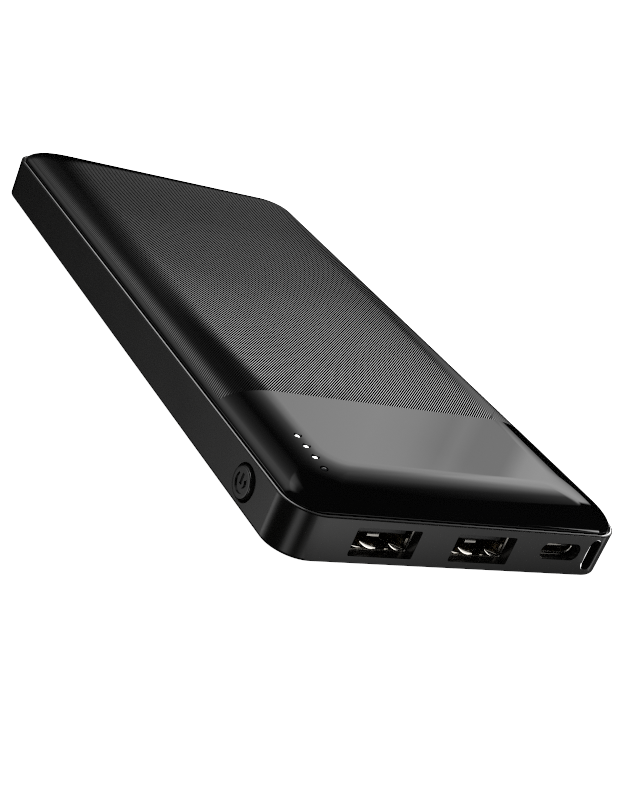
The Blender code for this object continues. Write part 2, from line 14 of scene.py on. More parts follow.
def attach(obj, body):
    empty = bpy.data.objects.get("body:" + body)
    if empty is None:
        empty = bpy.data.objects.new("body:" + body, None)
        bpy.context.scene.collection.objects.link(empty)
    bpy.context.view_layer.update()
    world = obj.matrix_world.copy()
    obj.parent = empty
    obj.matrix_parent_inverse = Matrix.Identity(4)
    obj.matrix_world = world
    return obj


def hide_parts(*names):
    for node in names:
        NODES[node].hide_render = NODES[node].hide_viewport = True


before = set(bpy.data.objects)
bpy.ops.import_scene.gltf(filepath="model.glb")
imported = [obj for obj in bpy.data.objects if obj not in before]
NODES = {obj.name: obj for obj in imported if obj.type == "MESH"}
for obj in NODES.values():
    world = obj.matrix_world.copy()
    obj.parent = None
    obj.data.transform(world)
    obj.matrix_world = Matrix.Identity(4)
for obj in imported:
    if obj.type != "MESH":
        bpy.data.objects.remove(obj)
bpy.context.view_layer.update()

MM = 0.001
SCENE = bpy.context.scene

# ------------------------------------------------------------------ sizes, mm
W2, L2 = 35.0, 70.0
CORNER_R = 6.35
BAND_H, HEIGHT = 8.4, 12.2
COVER_INSET, DOME_RUN, DOME_EXP, TOP_R = 0.85, 9.9, 1.851, 4.5
COVER_T = 1.3
SEAM_Y = -38.2
RIB_PITCH, RIB_SHIFT, RIB_H, RIB_LIT = 0.3765, 0.230, 0.0386, 0.21
RIB_BED = 0.14
RIM_R, RIM_Z = 0.12, 8.26
RIB_FROM = 0.19            # border parameter where the ribs begin above the rim
A_X, A_Z = (-16.19, 3.97), 4.21
C_X, C_Z = 21.15, 4.78
BTN_Y, BTN_Z = -55.1, 4.15
LAMP_X = -26.75
LAMP_Y = (-52.28, -55.42, -58.56, -61.70)
SLOT_X, SLOT_Z, SLOT_W, SLOT_H, SLOT_Y = 28.8, 4.45, 2.2, 5.7, -64.0


# ------------------------------------------------------------------ camera
def unit(v):
    v = np.array(v, float)
    return v / np.linalg.norm(v)


fwd = unit((0.56648566, 0.73784781, -0.36698022))
down = np.array((0.10585548, -0.5067901, -0.85554568))
down = unit(down - fwd * (down @ fwd))
right = np.cross(down, fwd)
cam_data = bpy.data.cameras.new("camera")
cam_data.sensor_fit = 'AUTO'
cam_data.sensor_width = 36.0
cam_data.lens = 65.914
cam_data.clip_start = 0.01
cam_data.clip_end = 100.0
cam = bpy.data.objects.new("camera", cam_data)
SCENE.collection.objects.link(cam)
cam.matrix_world = Matrix((
    (right[0], -down[0], -fwd[0], -0.15581),
    (right[1], -down[1], -fwd[1], -0.21999),
    (right[2], -down[2], -fwd[2], 0.10244),
    (0, 0, 0, 1)))
SCENE.camera = cam
SCENE.view_settings.view_transform = 'Standard'
SCENE.view_settings.look = 'None'
SCENE.view_settings.exposure = 0.0
SCENE.view_settings.gamma = 1.0
SCENE.cycles.pixel_filter_type = 'BOX'
SCENE.cycles.filter_width = 0.8
SCENE.cycles.use_denoising = False      # the ribs are finer than the denoiser keeps
SCENE.cycles.sample_clamp_indirect = 0.5
SCENE.cycles.min_light_bounces = 6
SCENE.cycles.min_transparent_bounces = 12


# ------------------------------------------------------------------ node helper
class Graph:
    """Small helper to wire shader nodes."""

    def __init__(self, tree):
        self.t = tree

    def node(self, kind, **props):
        n = self.t.nodes.new(kind)
        for k, v in props.items():
            setattr(n, k, v)
        return n

    def put(self, socket, value):
        if isinstance(value, bpy.types.NodeSocket):
            self.t.links.new(value, socket)
        else:
            socket.default_value = value

    def math(self, op, a, b=None, c=None, clamp=False):
        n = self.node('ShaderNodeMath', operation=op, use_clamp=clamp)
        self.put(n.inputs[0], a)
        if b is not None:
            self.put(n.inputs[1], b)
        if c is not None:
            self.put(n.inputs[2], c)
        return n.outputs[0]

    def vmath(self, op, a, b=None):
        n = self.node('ShaderNodeVectorMath', operation=op)
        self.put(n.inputs[0], a)
        if b is not None:
            self.put(n.inputs[1], b)
        return n.outputs[0]

    def remap(self, x, a, b, c=0.0, d=1.0, smooth=False):
        n = self.node('ShaderNodeMapRange', clamp=True,
                      interpolation_type='SMOOTHSTEP' if smooth else 'LINEAR')
        self.put(n.inputs['Value'], x)
        for key, v in (('From Min', a), ('From Max', b), ('To Min', c), ('To Max', d)):
            n.inputs[key].default_value = v
        return n.outputs['Result']

    def ramp(self, x, points):
        """Piecewise-linear curve through (x, y) points."""
        top = max(v for _, v in points) or 1.0
        lo, hi = points[0][0], points[-1][0]
        n = self.node('ShaderNodeValToRGB')
        self.put(n.inputs[0], self.remap(x, lo, hi))
        ramp = n.color_ramp
        ramp.interpolation = 'LINEAR'
        while len(ramp.elements) > 1:
            ramp.elements.remove(ramp.elements[-1])
        for i, (px, v) in enumerate(points):
            e = ramp.elements[0] if i == 0 else ramp.elements.new((px - lo) / (hi - lo))
            e.position = (px - lo) / (hi - lo)
            e.color = (v / top, v / top, v / top, 1.0)
        return self.math('MULTIPLY', n.outputs['Color'], top)

    def noise(self, coord, size_mm, detail=2.0, rough=0.5, stretch=None, distortion=0.0):
        """Noise with features about size_mm across, 0 to 1."""
        if stretch:
            m = self.node('ShaderNodeMapping')
            self.put(m.inputs['Vector'], coord)
            m.inputs['Scale'].default_value = stretch
            coord = m.outputs[0]
        n = self.node('ShaderNodeTexNoise')
        self.put(n.inputs['Vector'], coord)
        n.inputs['Scale'].default_value = 1000.0 / size_mm
        n.inputs['Detail'].default_value = detail
        n.inputs['Roughness'].default_value = rough
        n.inputs['Distortion'].default_value = distortion
        return n.outputs['Fac']

    def mix(self, fac, a, b):
        n = self.node('ShaderNodeMix', data_type='RGBA')
        self.put(n.inputs['Factor'], fac)
        self.put(n.inputs['A'], (*a, 1.0) if isinstance(a, tuple) else a)
        self.put(n.inputs['B'], (*b, 1.0) if isinstance(b, tuple) else b)
        return n.outputs['Result']

    def bump(self, height, depth_mm, strength=1.0, normal=None):
        n = self.node('ShaderNodeBump')
        n.inputs['Strength'].default_value = strength
        n.inputs['Distance'].default_value = depth_mm * MM
        self.put(n.inputs['Height'], height)
        if normal is not None:
            self.put(n.inputs['Normal'], normal)
        return n.outputs['Normal']


def principled(name, metal=0.0, ior=1.5):
    mat = bpy.data.materials.new(name)
    mat.use_nodes = True
    mat.node_tree.nodes.clear()
    g = Graph(mat.node_tree)
    out = g.node('ShaderNodeOutputMaterial')
    b = g.node('ShaderNodeBsdfPrincipled')
    b.inputs['Metallic'].default_value = metal
    b.inputs['IOR'].default_value = ior
    mat.node_tree.links.new(b.outputs[0], out.inputs['Surface'])
    co = g.node('ShaderNodeTexCoord').outputs['Object']
    return mat, g, b, co


def surface(name, dark, light, rough, patch=6.0, grain=0.15, depth=0.004, metal=0.0,
            ior=1.5, stretch=None, fine=0.5):
    """Moulded or rolled surface: slow colour and roughness variation plus fine grain."""
    mat, g, b, co = principled(name, metal, ior)
    slow = g.noise(co, patch, 3.0)
    small = g.noise(co, grain, 2.0, 0.6, stretch)
    both = g.math('ADD', g.math('MULTIPLY', slow, 1.0 - fine), g.math('MULTIPLY', small, fine))
    g.put(b.inputs['Base Color'], g.mix(g.remap(both, 0.3, 0.7), dark, light))
    g.put(b.inputs['Roughness'], g.remap(both, 0.3, 0.7, rough[0], rough[1]))
    if depth:
        g.put(b.inputs['Normal'], g.bump(small, depth))
    return mat


# ------------------------------------------------------------------ materials
M = {}
M['case'] = surface('case_satin', (0.0016, 0.00155, 0.0014), (0.0030, 0.0029, 0.0026),
                    (0.17, 0.23), 9.0, 0.16, 0.0012)
M['rim'] = surface('rim_polished', (0.0014, 0.0014, 0.0014), (0.0026, 0.0026, 0.0025),
                   (0.06, 0.10), 9.0, 0.3, 0.0004, ior=1.75)


def gloss_black(name, ior=1.5, rough=(0.012, 0.03)):
    mat, g, b, co = principled(name, 0.0, ior)
    slow = g.noise(co, 14.0, 2.0)
    haze = g.noise(co, 1.4, 3.0, 0.6)
    g.put(b.inputs['Base Color'], g.mix(slow, (0.0012, 0.0012, 0.0012), (0.0022, 0.0022, 0.0023)))
    g.put(b.inputs['Roughness'], g.remap(
        g.math('MULTIPLY', slow, haze), 0.15, 0.4, rough[0], rough[1]))
    g.put(b.inputs['Normal'], g.bump(g.noise(co, 9.0, 1.0), 0.0006))
    return mat


M['gloss'] = gloss_black('cover_gloss')
M['lip'] = gloss_black('slot_lip_polished', 1.75, (0.004, 0.012))
M['rib'] = gloss_black('cover_rib_gloss', 1.5, (0.03, 0.06))
M['button'] = surface('button_satin', (0.0018, 0.0018, 0.0017), (0.0032, 0.0032, 0.0030),
                      (0.18, 0.24), 2.5, 0.14, 0.0012)
M['nylon'] = surface('connector_nylon_grain', (0.006, 0.006, 0.006), (0.011, 0.011, 0.011),
                     (0.32, 0.48), 3.0, 0.12, 0.003)
M['plated'] = surface('plated_steel_rolled', (0.60, 0.575, 0.53), (0.74, 0.715, 0.66),
                      (0.14, 0.24), 2.4, 0.10, 0.0012, 1.0, stretch=(1.0, 0.12, 1.0))
M['gold'] = surface('contact_gold_plate', (0.72, 0.52, 0.24), (0.88, 0.68, 0.36),
                    (0.16, 0.28), 1.2, 0.06, 0.0008, 1.0, stretch=(1.0, 0.15, 1.0))
M['nickel'] = surface('nickel_strip_rolled', (0.52, 0.50, 0.46), (0.66, 0.64, 0.60),
                      (0.28, 0.42), 2.0, 0.10, 0.002, 1.0, stretch=(0.15, 1.0, 1.0))
M['pouch'] = surface('pouch_foil_matte', (0.50, 0.51, 0.53), (0.66, 0.67, 0.69),
                     (0.30, 0.46), 11.0, 0.9, 0.02, 1.0, fine=0.3)
M['tape'] = surface('tape_paper', (0.62, 0.62, 0.59), (0.78, 0.78, 0.75),
                    (0.55, 0.75), 5.0, 0.2, 0.01)
M['lead_red'] = surface('lead_red_pvc', (0.42, 0.012, 0.010), (0.58, 0.03, 0.025),
                        (0.35, 0.5), 2.0, 0.2, 0.003)
M['lead_black'] = surface('lead_black_pvc', (0.012, 0.012, 0.012), (0.024, 0.024, 0.024),
                          (0.35, 0.5), 2.0, 0.2, 0.003)
M['led'] = surface('led_body', (0.70, 0.69, 0.58), (0.88, 0.87, 0.78), (0.3, 0.45), 0.8, 0.1, 0.002)
M['chip'] = surface('chip_epoxy_mould', (0.012, 0.012, 0.012), (0.026, 0.026, 0.027),
                    (0.4, 0.6), 1.5, 0.08, 0.004)
M['ferrite'] = surface('ferrite_sintered', (0.06, 0.06, 0.062), (0.13, 0.13, 0.135),
                       (0.5, 0.75), 1.5, 0.12, 0.012)
M['can'] = surface('capacitor_can_drawn', (0.60, 0.60, 0.62), (0.78, 0.78, 0.80),
                   (0.22, 0.36), 1.8, 0.12, 0.003, 1.0, stretch=(1.0, 1.0, 0.1))
M['screw'] = surface('screw_steel_black', (0.22, 0.22, 0.23), (0.38, 0.38, 0.40),
                     (0.25, 0.42), 0.9, 0.08, 0.004, 1.0)


def foam():
    mat, g, b, co = principled('foam_open_cell')
    v = g.node('ShaderNodeTexVoronoi', feature='F1')
    g.put(v.inputs['Vector'], co)
    v.inputs['Scale'].default_value = 1000.0 / 0.5
    n = g.noise(co, 3.0, 3.0)
    g.put(b.inputs['Base Color'], g.mix(n, (0.018, 0.018, 0.018), (0.045, 0.045, 0.045)))
    g.put(b.inputs['Roughness'], g.remap(n, 0.3, 0.7, 0.85, 1.0))
    g.put(b.inputs['Normal'], g.bump(v.outputs['Distance'], 0.12))
    return mat


def board():
    """Solder mask over copper tracks, with bare glass-fibre edges."""
    mat, g, b, co = principled('board_solder_mask')
    sep = g.node('ShaderNodeSeparateXYZ')
    g.put(sep.inputs[0], co)
    v = g.node('ShaderNodeTexVoronoi', feature='DISTANCE_TO_EDGE', distance='CHEBYCHEV')
    g.put(v.inputs['Vector'], co)
    v.inputs['Scale'].default_value = 1000.0 / 2.6
    v.inputs['Randomness'].default_value = 0.85
    track = g.remap(v.outputs['Distance'], 0.05, 0.09, 1.0, 0.0)
    n = g.noise(co, 0.35, 2.0)
    col = g.mix(n, (0.008, 0.055, 0.022), (0.012, 0.085, 0.034))
    col = g.mix(track, col, (0.022, 0.15, 0.055))
    g.put(b.inputs['Base Color'], col)
    g.put(b.inputs['Roughness'], g.remap(n, 0.3, 0.7, 0.28, 0.42))
    g.put(b.inputs['Normal'], g.bump(track, 0.03))
    return mat


def light_pipe(name, y):
    """Acrylic pipe at y, whose tip glows when its lamp is on; y is None for the dark one."""
    lit = y is not None
    mat, g, b, co = principled(name, 0.0, 1.49)
    n = g.noise(co, 0.5, 2.0)
    g.put(b.inputs['Base Color'], g.mix(n, (0.86, 0.88, 0.90), (0.94, 0.96, 0.97)) if lit
          else g.mix(n, (0.010, 0.011, 0.012), (0.022, 0.023, 0.024)))
    g.put(b.inputs['Roughness'], g.remap(n, 0.3, 0.7, 0.08, 0.2))
    if lit:
        sep = g.node('ShaderNodeSeparateXYZ')
        g.put(sep.inputs[0], co)
        dx = g.math('SUBTRACT', sep.outputs['X'], LAMP_X * MM)
        dy = g.math('SUBTRACT', sep.outputs['Y'], y * MM)
        off = g.math('SQRT', g.math('ADD', g.math('MULTIPLY', dx, dx), g.math('MULTIPLY', dy, dy)))
        glow = g.math('MULTIPLY', g.remap(sep.outputs['Z'], 0.0098, 0.0112, 0.0, 2.4, True),
                      g.remap(off, 0.00032, 0.00050, 1.0, 0.03, True))
        g.put(b.inputs['Emission Color'], g.mix(n, (0.98, 0.99, 1.0), (1.0, 1.0, 1.0)))
        g.put(b.inputs['Emission Strength'], g.math(
            'MULTIPLY', glow, g.remap(n, 0.2, 0.8, 0.9, 1.1)))
    return mat


M['foam'] = foam()
M['board'] = board()
for i, y in enumerate(LAMP_Y[:3]):
    M['clear_%d' % (i + 1)] = light_pipe('light_pipe_lit_%d' % (i + 1), y)
M['clear_4'] = light_pipe('light_pipe_unlit', None)

BY_NODE = (
    ('bottom_case', 'case'), ('top_cover', 'gloss'), ('power_button', 'button'),
    ('battery_cell', 'pouch'), ('battery_tape', 'tape'), ('foam_pad', 'foam'),
    ('cell_tab', 'nickel'), ('protection_board', 'board'), ('main_board', 'board'),
    ('red_lead', 'lead_red'), ('black_lead', 'lead_black'),
    ('tact_switch_frame', 'plated'), ('tact_switch', 'nylon'),
    ('boost_chip', 'chip'), ('charge_chip', 'chip'), ('boost_inductor', 'ferrite'),
    ('capacitor', 'can'), ('board_screw', 'screw'), ('led_', 'led'),
    ('light_pipe_holder', 'nylon'), ('light_pipe_1', 'clear_1'), ('light_pipe_2', 'clear_2'),
    ('light_pipe_3', 'clear_3'), ('light_pipe_4', 'clear_4'),
    ('usb_a_left_contact', 'gold'), ('usb_a_right_contact', 'gold'),
    ('usb_a_left_insert', 'nylon'), ('usb_a_right_insert', 'nylon'),
    ('usb_a_left_shell', 'plated'), ('usb_a_right_shell', 'plated'),
    ('usb_c_insert', 'nylon'), ('usb_c_shell', 'plated'))
for name, ob in NODES.items():
    key = next(k for prefix, k in BY_NODE if name.startswith(prefix))
    if not ob.material_slots:
        ob.data.materials.append(M[key])
    for slot in ob.material_slots:
        slot.material = M[key]


# ------------------------------------------------------------------ mesh helpers
def make_object(name, verts, faces, mat, smooth=30.0):
    """Object from points in millimetres."""
    mesh = bpy.data.meshes.new(name)
    mesh.from_pydata([tuple(c * MM for c in v) for v in verts], [], faces)
    mesh.update()
    ob = bpy.data.objects.new(name, mesh)
    SCENE.collection.objects.link(ob)
    if mat is not None:
        mesh.materials.append(mat)
    if smooth:
        mesh.shade_smooth()
        mesh.set_sharp_from_angle(angle=radians(smooth))
    return ob


def loft(rings, cap0=True, cap1=True):
    n = len(rings[0])
    verts = [p for ring in rings for p in ring]
    faces = []
    for k in range(len(rings) - 1):
        for i in range(n):
            j = (i + 1) % n
            faces.append((k * n + i, k * n + j, (k + 1) * n + j, (k + 1) * n + i))
    if cap0:
        faces.append(tuple(reversed(range(n))))
    if cap1:
        faces.append(tuple((len(rings) - 1) * n + i for i in range(n)))
    return verts, faces


def plan_ring(inset, z, r, seg=24):
    """Rounded rectangle concentric with the band, anticlockwise from above."""
    w, l = W2 - inset, L2 - inset
    pts = []
    for cx, cy, a0 in ((w - r, l - r, 0), (-w + r, l - r, 90),
                       (-w + r, -l + r, 180), (w - r, -l + r, 270)):
        for i in range(seg + 1):
            a = radians(a0 + 90 * i / seg)
            pts.append((cx + r * cos(a), cy + r * sin(a), z))
    return pts


def outline(w, h, r, seg=8):
    """Rounded rectangle about the origin in two coordinates."""
    pts = []
    for cx, cy, a0 in ((w / 2 - r, h / 2 - r, 0), (-w / 2 + r, h / 2 - r, 90),
                       (-w / 2 + r, -h / 2 + r, 180), (w / 2 - r, -h / 2 + r, 270)):
        for i in range(seg + 1):
            a = radians(a0 + 90 * i / seg)
            pts.append((cx + r * cos(a), cy + r * sin(a)))
    return pts


def fix_normals(ob):
    bm = bmesh.new()
    bm.from_mesh(ob.data)
    bmesh.ops.recalc_face_normals(bm, faces=bm.faces[:])
    bm.to_mesh(ob.data)
    bm.free()
    return ob


def prism(name, axis, centre, sections, mat=None, smooth=30.0):
    """Solid through rounded-rectangle sections (position, width, height, radius) along X or Y."""
    rings = []
    for pos, w, h, r in sections:
        ring = []
        for u, v in outline(w, h, max(r, 0.001), 8):
            if axis == 'Y':
                ring.append((centre[0] + u, pos, centre[1] + v))
            else:
                ring.append((pos, centre[0] + u, centre[1] + v))
        rings.append(ring)
    v, f = loft(rings)
    return fix_normals(make_object(name, v, f, mat, smooth))


def box(name, x0, x1, y0, y1, z0, z1, mat=None):
    ring = lambda z: [(x0, y0, z), (x1, y0, z), (x1, y1, z), (x0, y1, z)]
    v, f = loft([ring(z0), ring(z1)])
    return make_object(name, v, f, mat, 0)


def rod(name, axis, centre, stations, seg=48, mat=None):
    """Turned solid: stations are (position along the axis, radius)."""
    rings = []
    for pos, r in stations:
        ring = []
        for i in range(seg):
            a = 2 * pi * i / seg
            u, v = r * cos(a), r * sin(a)
            ring.append({'X': (pos, centre[0] + u, centre[1] + v),
                         'Y': (centre[0] + u, pos, centre[1] + v),
                         'Z': (centre[0] + u, centre[1] + v, pos)}[axis])
        rings.append(ring)
    v, f = loft(rings)
    return fix_normals(make_object(name, v, f, mat, 30.0))


def carve(ob, steps):
    """Apply booleans in order; steps are (other object, operation)."""
    for other, op in steps:
        mod = ob.modifiers.new(other.name, 'BOOLEAN')
        mod.operation = op
        mod.solver = 'EXACT'
        mod.object = other
    bpy.context.view_layer.update()
    dg = bpy.context.evaluated_depsgraph_get()
    mesh = bpy.data.meshes.new_from_object(ob.evaluated_get(dg))
    ob.modifiers.clear()
    old = ob.data
    ob.data = mesh
    mesh.name = ob.name
    bpy.data.meshes.remove(old)
    for other, _ in steps:
        data = other.data
        bpy.data.objects.remove(other, do_unlink=True)
        bpy.data.meshes.remove(data)
    return ob


def only(ob, mat):
    ob.data.materials.clear()
    ob.data.materials.append(mat)
    ob.data.polygons.foreach_set('material_index', [0] * len(ob.data.polygons))


def set_normals(ob, rule, angle=30.0):
    """Loop normals: rule(points, face normals) gives a normal and a mask; the rest stay as shaded."""
    me = ob.data
    me.shade_smooth()
    me.set_sharp_from_angle(angle=radians(angle))
    nl = len(me.loops)
    co = np.zeros(len(me.vertices) * 3, np.float32)
    me.vertices.foreach_get('co', co)
    co = co.reshape(-1, 3).astype(float) / MM
    li = np.zeros(nl, np.int32)
    me.loops.foreach_get('vertex_index', li)
    cn = np.zeros(nl * 3, np.float32)
    me.corner_normals.foreach_get('vector', cn)
    cn = cn.reshape(-1, 3).astype(float)
    fn = np.zeros((len(me.polygons), 3))
    start = np.zeros(len(me.polygons), np.int32)
    total = np.zeros(len(me.polygons), np.int32)
    tmp = np.zeros(len(me.polygons) * 3, np.float32)
    me.polygons.foreach_get('normal', tmp)
    fn = tmp.reshape(-1, 3).astype(float)
    me.polygons.foreach_get('loop_start', start)
    me.polygons.foreach_get('loop_total', total)
    face_of = np.repeat(np.arange(len(me.polygons)), total)
    order = np.concatenate([np.arange(s, s + t) for s, t in zip(start, total)]) if len(start) else []
    fl = np.zeros(nl, int)
    fl[order] = face_of
    n, mask = rule(co[li], fn[fl])
    cn[mask] = n[mask]
    me.normals_split_custom_set([tuple(v) for v in cn])


# ------------------------------------------------------------------ dome shape
def border(t):
    """Border section at t: position 0 to 1 across and up, and the section's normal parts."""
    k = 2 / DOME_EXP
    th = t * pi / 2
    c, s = cos(th), sin(th)
    h = 1 - max(c, 0.0) ** k
    v = max(s, 0.0) ** k
    dh = k * max(c, 1e-9) ** (k - 1) * s
    dv = k * max(s, 1e-9) ** (k - 1) * c
    a, b = (HEIGHT - BAND_H) * dv, DOME_RUN * dh
    m = sqrt(a * a + b * b) or 1.0
    return h, v, a / m, b / m


def dome_ring(t, drop=0.0, seg=24):
    """Ring of the dome at t, moved inwards along the section normal by drop."""
    h, v, nh, nz = border(t)
    r = (CORNER_R - COVER_INSET) * (1 - h) + TOP_R * h
    return plan_ring(COVER_INSET + DOME_RUN * h + drop * nh, BAND_H + (HEIGHT - BAND_H) * v - drop * nz,
                     max(r - drop * nh, 0.2), seg)


def dome_h(x, y):
    """Border position h of plan points, 1 on the flat top."""
    ax, ay = np.abs(x), np.abs(y)

    def out(h):
        r = (CORNER_R - COVER_INSET) * (1 - h) + TOP_R * h
        w = W2 - COVER_INSET - DOME_RUN * h
        l = L2 - COVER_INSET - DOME_RUN * h
        qx, qy = ax - (w - r), ay - (l - r)
        return (np.hypot(np.maximum(qx, 0), np.maximum(qy, 0))
                + np.minimum(np.maximum(qx, qy), 0) - r)

    flat = out(np.ones_like(ax)) <= 0
    lo, hi = np.full(ax.shape, -0.05), np.ones_like(ax)
    for _ in range(42):
        mid = (lo + hi) / 2
        o = out(mid) > 0
        hi = np.where(o, mid, hi)
        lo = np.where(o, lo, mid)
    h = (lo + hi) / 2
    h[flat] = 1.0
    return h


def dome_z(h):
    h = np.clip(h, 0, 1)
    return BAND_H + (HEIGHT - BAND_H) * (1 - (1 - h) ** DOME_EXP) ** (1 / DOME_EXP)


def dome_normal(x, y, h):
    """Unit normals of the dome at plan points whose border position is h."""
    hc = np.clip(h, 0, 1)
    k = 2 / DOME_EXP
    c = np.clip(1 - hc, 1e-9, 1) ** (1 / k)
    s = np.sqrt(np.clip(1 - c * c, 1e-12, 1))
    dh = k * c ** (k - 1) * s
    dv = k * s ** (k - 1) * c
    r = (CORNER_R - COVER_INSET) * (1 - hc) + TOP_R * hc
    w = W2 - COVER_INSET - DOME_RUN * hc
    l = L2 - COVER_INSET - DOME_RUN * hc
    qx, qy = np.abs(x) - (w - r), np.abs(y) - (l - r)
    both = (qx > 0) & (qy > 0)
    m = np.hypot(qx, qy) + 1e-12
    ux = np.where(both, qx / m, (qx >= qy).astype(float))
    uy = np.where(both, qy / m, (qx < qy).astype(float))
    shift = DOME_RUN - (CORNER_R - COVER_INSET - TOP_R)
    run = np.where(both, shift * (ux + uy) + (CORNER_R - COVER_INSET - TOP_R), DOME_RUN)
    a, b = (HEIGHT - BAND_H) * dv, run * dh
    n = np.stack([a * ux * np.sign(x), a * uy * np.sign(y), b], 1)
    n /= np.linalg.norm(n, axis=1)[:, None]
    n[h >= 0.99999] = (0, 0, 1)
    return n


# ------------------------------------------------------------------ case
def case_body():
    rings = [plan_ring(0.6, 0.0, CORNER_R - 0.6)]
    for i in range(1, 9):                                   # foot edge
        a = radians(90 * i / 8)
        d = 0.6 - 0.6 * sin(a)
        rings.append(plan_ring(d, 0.6 - 0.6 * cos(a), CORNER_R - d))
    rings.append(plan_ring(0.0, RIM_Z - RIM_R, CORNER_R))
    for i in range(1, 8):                                   # outer break of the rim
        a = radians(90 * i / 7)
        d = RIM_R - RIM_R * cos(a)
        rings.append(plan_ring(d, RIM_Z - RIM_R + RIM_R * sin(a), CORNER_R - d))
    rings.append(plan_ring(0.53, RIM_Z, CORNER_R - 0.53))
    rings.append(plan_ring(0.55, RIM_Z - 0.02, CORNER_R - 0.55))
    rings.append(plan_ring(0.55, 7.9, CORNER_R - 0.55))
    rings.append(plan_ring(1.8, 7.9, CORNER_R - 1.8))
    rings.append(plan_ring(1.8, 1.0, CORNER_R - 1.8))
    v, f = loft(rings)
    ob = make_object("case_body", v, f, None, 0)

    # corner block that carries the strap slot
    block = box("corner_block", 26.3, 36.0, -71.0, -61.6, 0.5, 7.65)
    v, f = loft([plan_ring(0.7, 0.2, CORNER_R - 0.7), plan_ring(0.7, 7.8, CORNER_R - 0.7)])
    carve(block, [(make_object("keep", v, f, None, 0), 'INTERSECT')])
    steps = [(block, 'UNION')]
    steps.append((box("stop", -28.0, 28.0, -35.6, -34.6, 0.5, 2.6), 'UNION'))
    for sx in (-1, 1):
        for i, y in enumerate((-8.0, 44.0)):
            xs = sorted((sx * 30.6, sx * 34.0))
            steps.append((box("side_stop", xs[0], xs[1], y - 1.5, y + 1.5, 0.5, 5.6), 'UNION'))
    screws = ((-27.2, -45.2), (-6.1, -46.4), (28.6, -45.2))
    for x, y in screws:
        steps.append((rod("boss", 'Z', (x, y), [(0.5, 1.9), (2.0, 1.9)], 32), 'UNION'))
    for x, y in screws:
        steps.append((rod("boss_hole", 'Z', (x, y), [(0.5, 0.95), (2.4, 0.95)], 24), 'DIFFERENCE'))

    def eased(w, h, r, edge, face, into, far):
        """Sections of an opening whose mouth at the face is rounded by edge."""
        rows = [(face - into * 1.2, w + 2 * edge + 0.9, h + 2 * edge + 0.9, r + edge + 0.45)]
        for i in range(7):
            a = radians(90 * i / 6)
            d = edge * (1 - sin(a))
            rows.append((face + into * edge * (1 - cos(a)), w + 2 * d, h + 2 * d, r + d))
        rows.append((far, w, h, r))
        return rows

    for x in A_X:
        steps.append((prism("mouth_a", 'Y', (x, A_Z), eased(12.6, 5.22, 0.35, 0.10, -L2, 1, -67.0)), 'DIFFERENCE'))
    steps.append((prism("mouth_c", 'Y', (C_X, C_Z), eased(9.0, 3.2, 1.58, 0.14, -L2, 1, -67.0)), 'DIFFERENCE'))
    steps.append((rod("mouth_b", 'X', (BTN_Y, BTN_Z),
                      [(-36.2, 3.95), (-35.0, 3.24), (-34.96, 3.17), (-34.88, 3.10), (-32.0, 3.10)], 72), 'DIFFERENCE'))
    for sx in (-1, 1):
        for y in (-30.0, 12.0, 54.0):
            xs = sorted((sx * (W2 - 2.4), sx * (W2 - 1.05)))
            steps.append((box("snap", xs[0], xs[1], y - 3.4, y + 3.4, 5.95, 7.0), 'DIFFERENCE'))
    steps.append((prism("slot_front", 'Y', (SLOT_X, SLOT_Z),
                        eased(SLOT_W, SLOT_H, SLOT_W / 2 - 0.01, 0.45, -L2, 1, SLOT_Y + SLOT_W / 2)), 'DIFFERENCE'))
    side = eased(SLOT_W, SLOT_H, SLOT_W / 2 - 0.01, 0.45, W2, -1, SLOT_X - SLOT_W / 2 + 0.3)
    steps.append((prism("slot_side", 'X', (SLOT_Y, SLOT_Z), side), 'DIFFERENCE'))
    carve(ob, steps)
    only(ob, M['case'])

    def rule(p, fn):
        """Band wall, foot edge and rim: exact normals from the plan and section."""
        w, l = W2 - CORNER_R, L2 - CORNER_R
        qx, qy = np.abs(p[:, 0]) - w, np.abs(p[:, 1]) - l
        both = (qx > 0) & (qy > 0)
        m = np.hypot(qx, qy) + 1e-12
        ux = np.where(both, qx / m, (qx >= qy).astype(float)) * np.sign(p[:, 0])
        uy = np.where(both, qy / m, (qx < qy).astype(float)) * np.sign(p[:, 1])
        inset = CORNER_R - np.where(both, m, np.maximum(qx, qy) + CORNER_R)
        z = p[:, 2]
        up = np.zeros(len(p))
        foot = z < 0.6
        up[foot] = -np.clip((0.6 - z[foot]) / 0.6, 0, 1)
        rim = z > RIM_Z - RIM_R
        up[rim] = np.clip((z[rim] - (RIM_Z - RIM_R)) / RIM_R, 0, 1)
        flat = np.sqrt(np.clip(1 - up * up, 0, 1))
        n = np.stack([ux * flat, uy * flat, up], 1)
        outer = (inset < 0.61) & ((n * fn).sum(1) > 0.9) & ~((inset > RIM_R + 0.02) & (z > RIM_Z - 0.1))
        top = (z > RIM_Z - 0.01) & (fn[:, 2] > 0.999)
        n[top] = (0, 0, 1)
        return n, outer | top

    set_normals(ob, rule, 35.0)
    return ob


def rim_bead():
    """Polished bevel that runs round the top edge of the wall."""
    rows = ((0.27, 8.10), (0.27, RIM_Z + 0.022), (0.28, RIM_Z + 0.033), (0.44, BAND_H - 0.022),
            (0.46, BAND_H - 0.017), (0.50, BAND_H - 0.05), (0.50, 8.10))
    rings = [plan_ring(d, z, CORNER_R - d) for d, z in rows]
    n = len(rings[0])
    v, f = loft(rings, cap0=False, cap1=False)
    last = (len(rings) - 1) * n
    for i in range(n):
        j = (i + 1) % n
        f.append((last + i, last + j, j, i))
    ob = fix_normals(make_object("rim_bead", v, f, M['rim'], 0))
    ob.data.shade_smooth()
    ob.data.set_sharp_from_angle(angle=radians(12))
    return ob


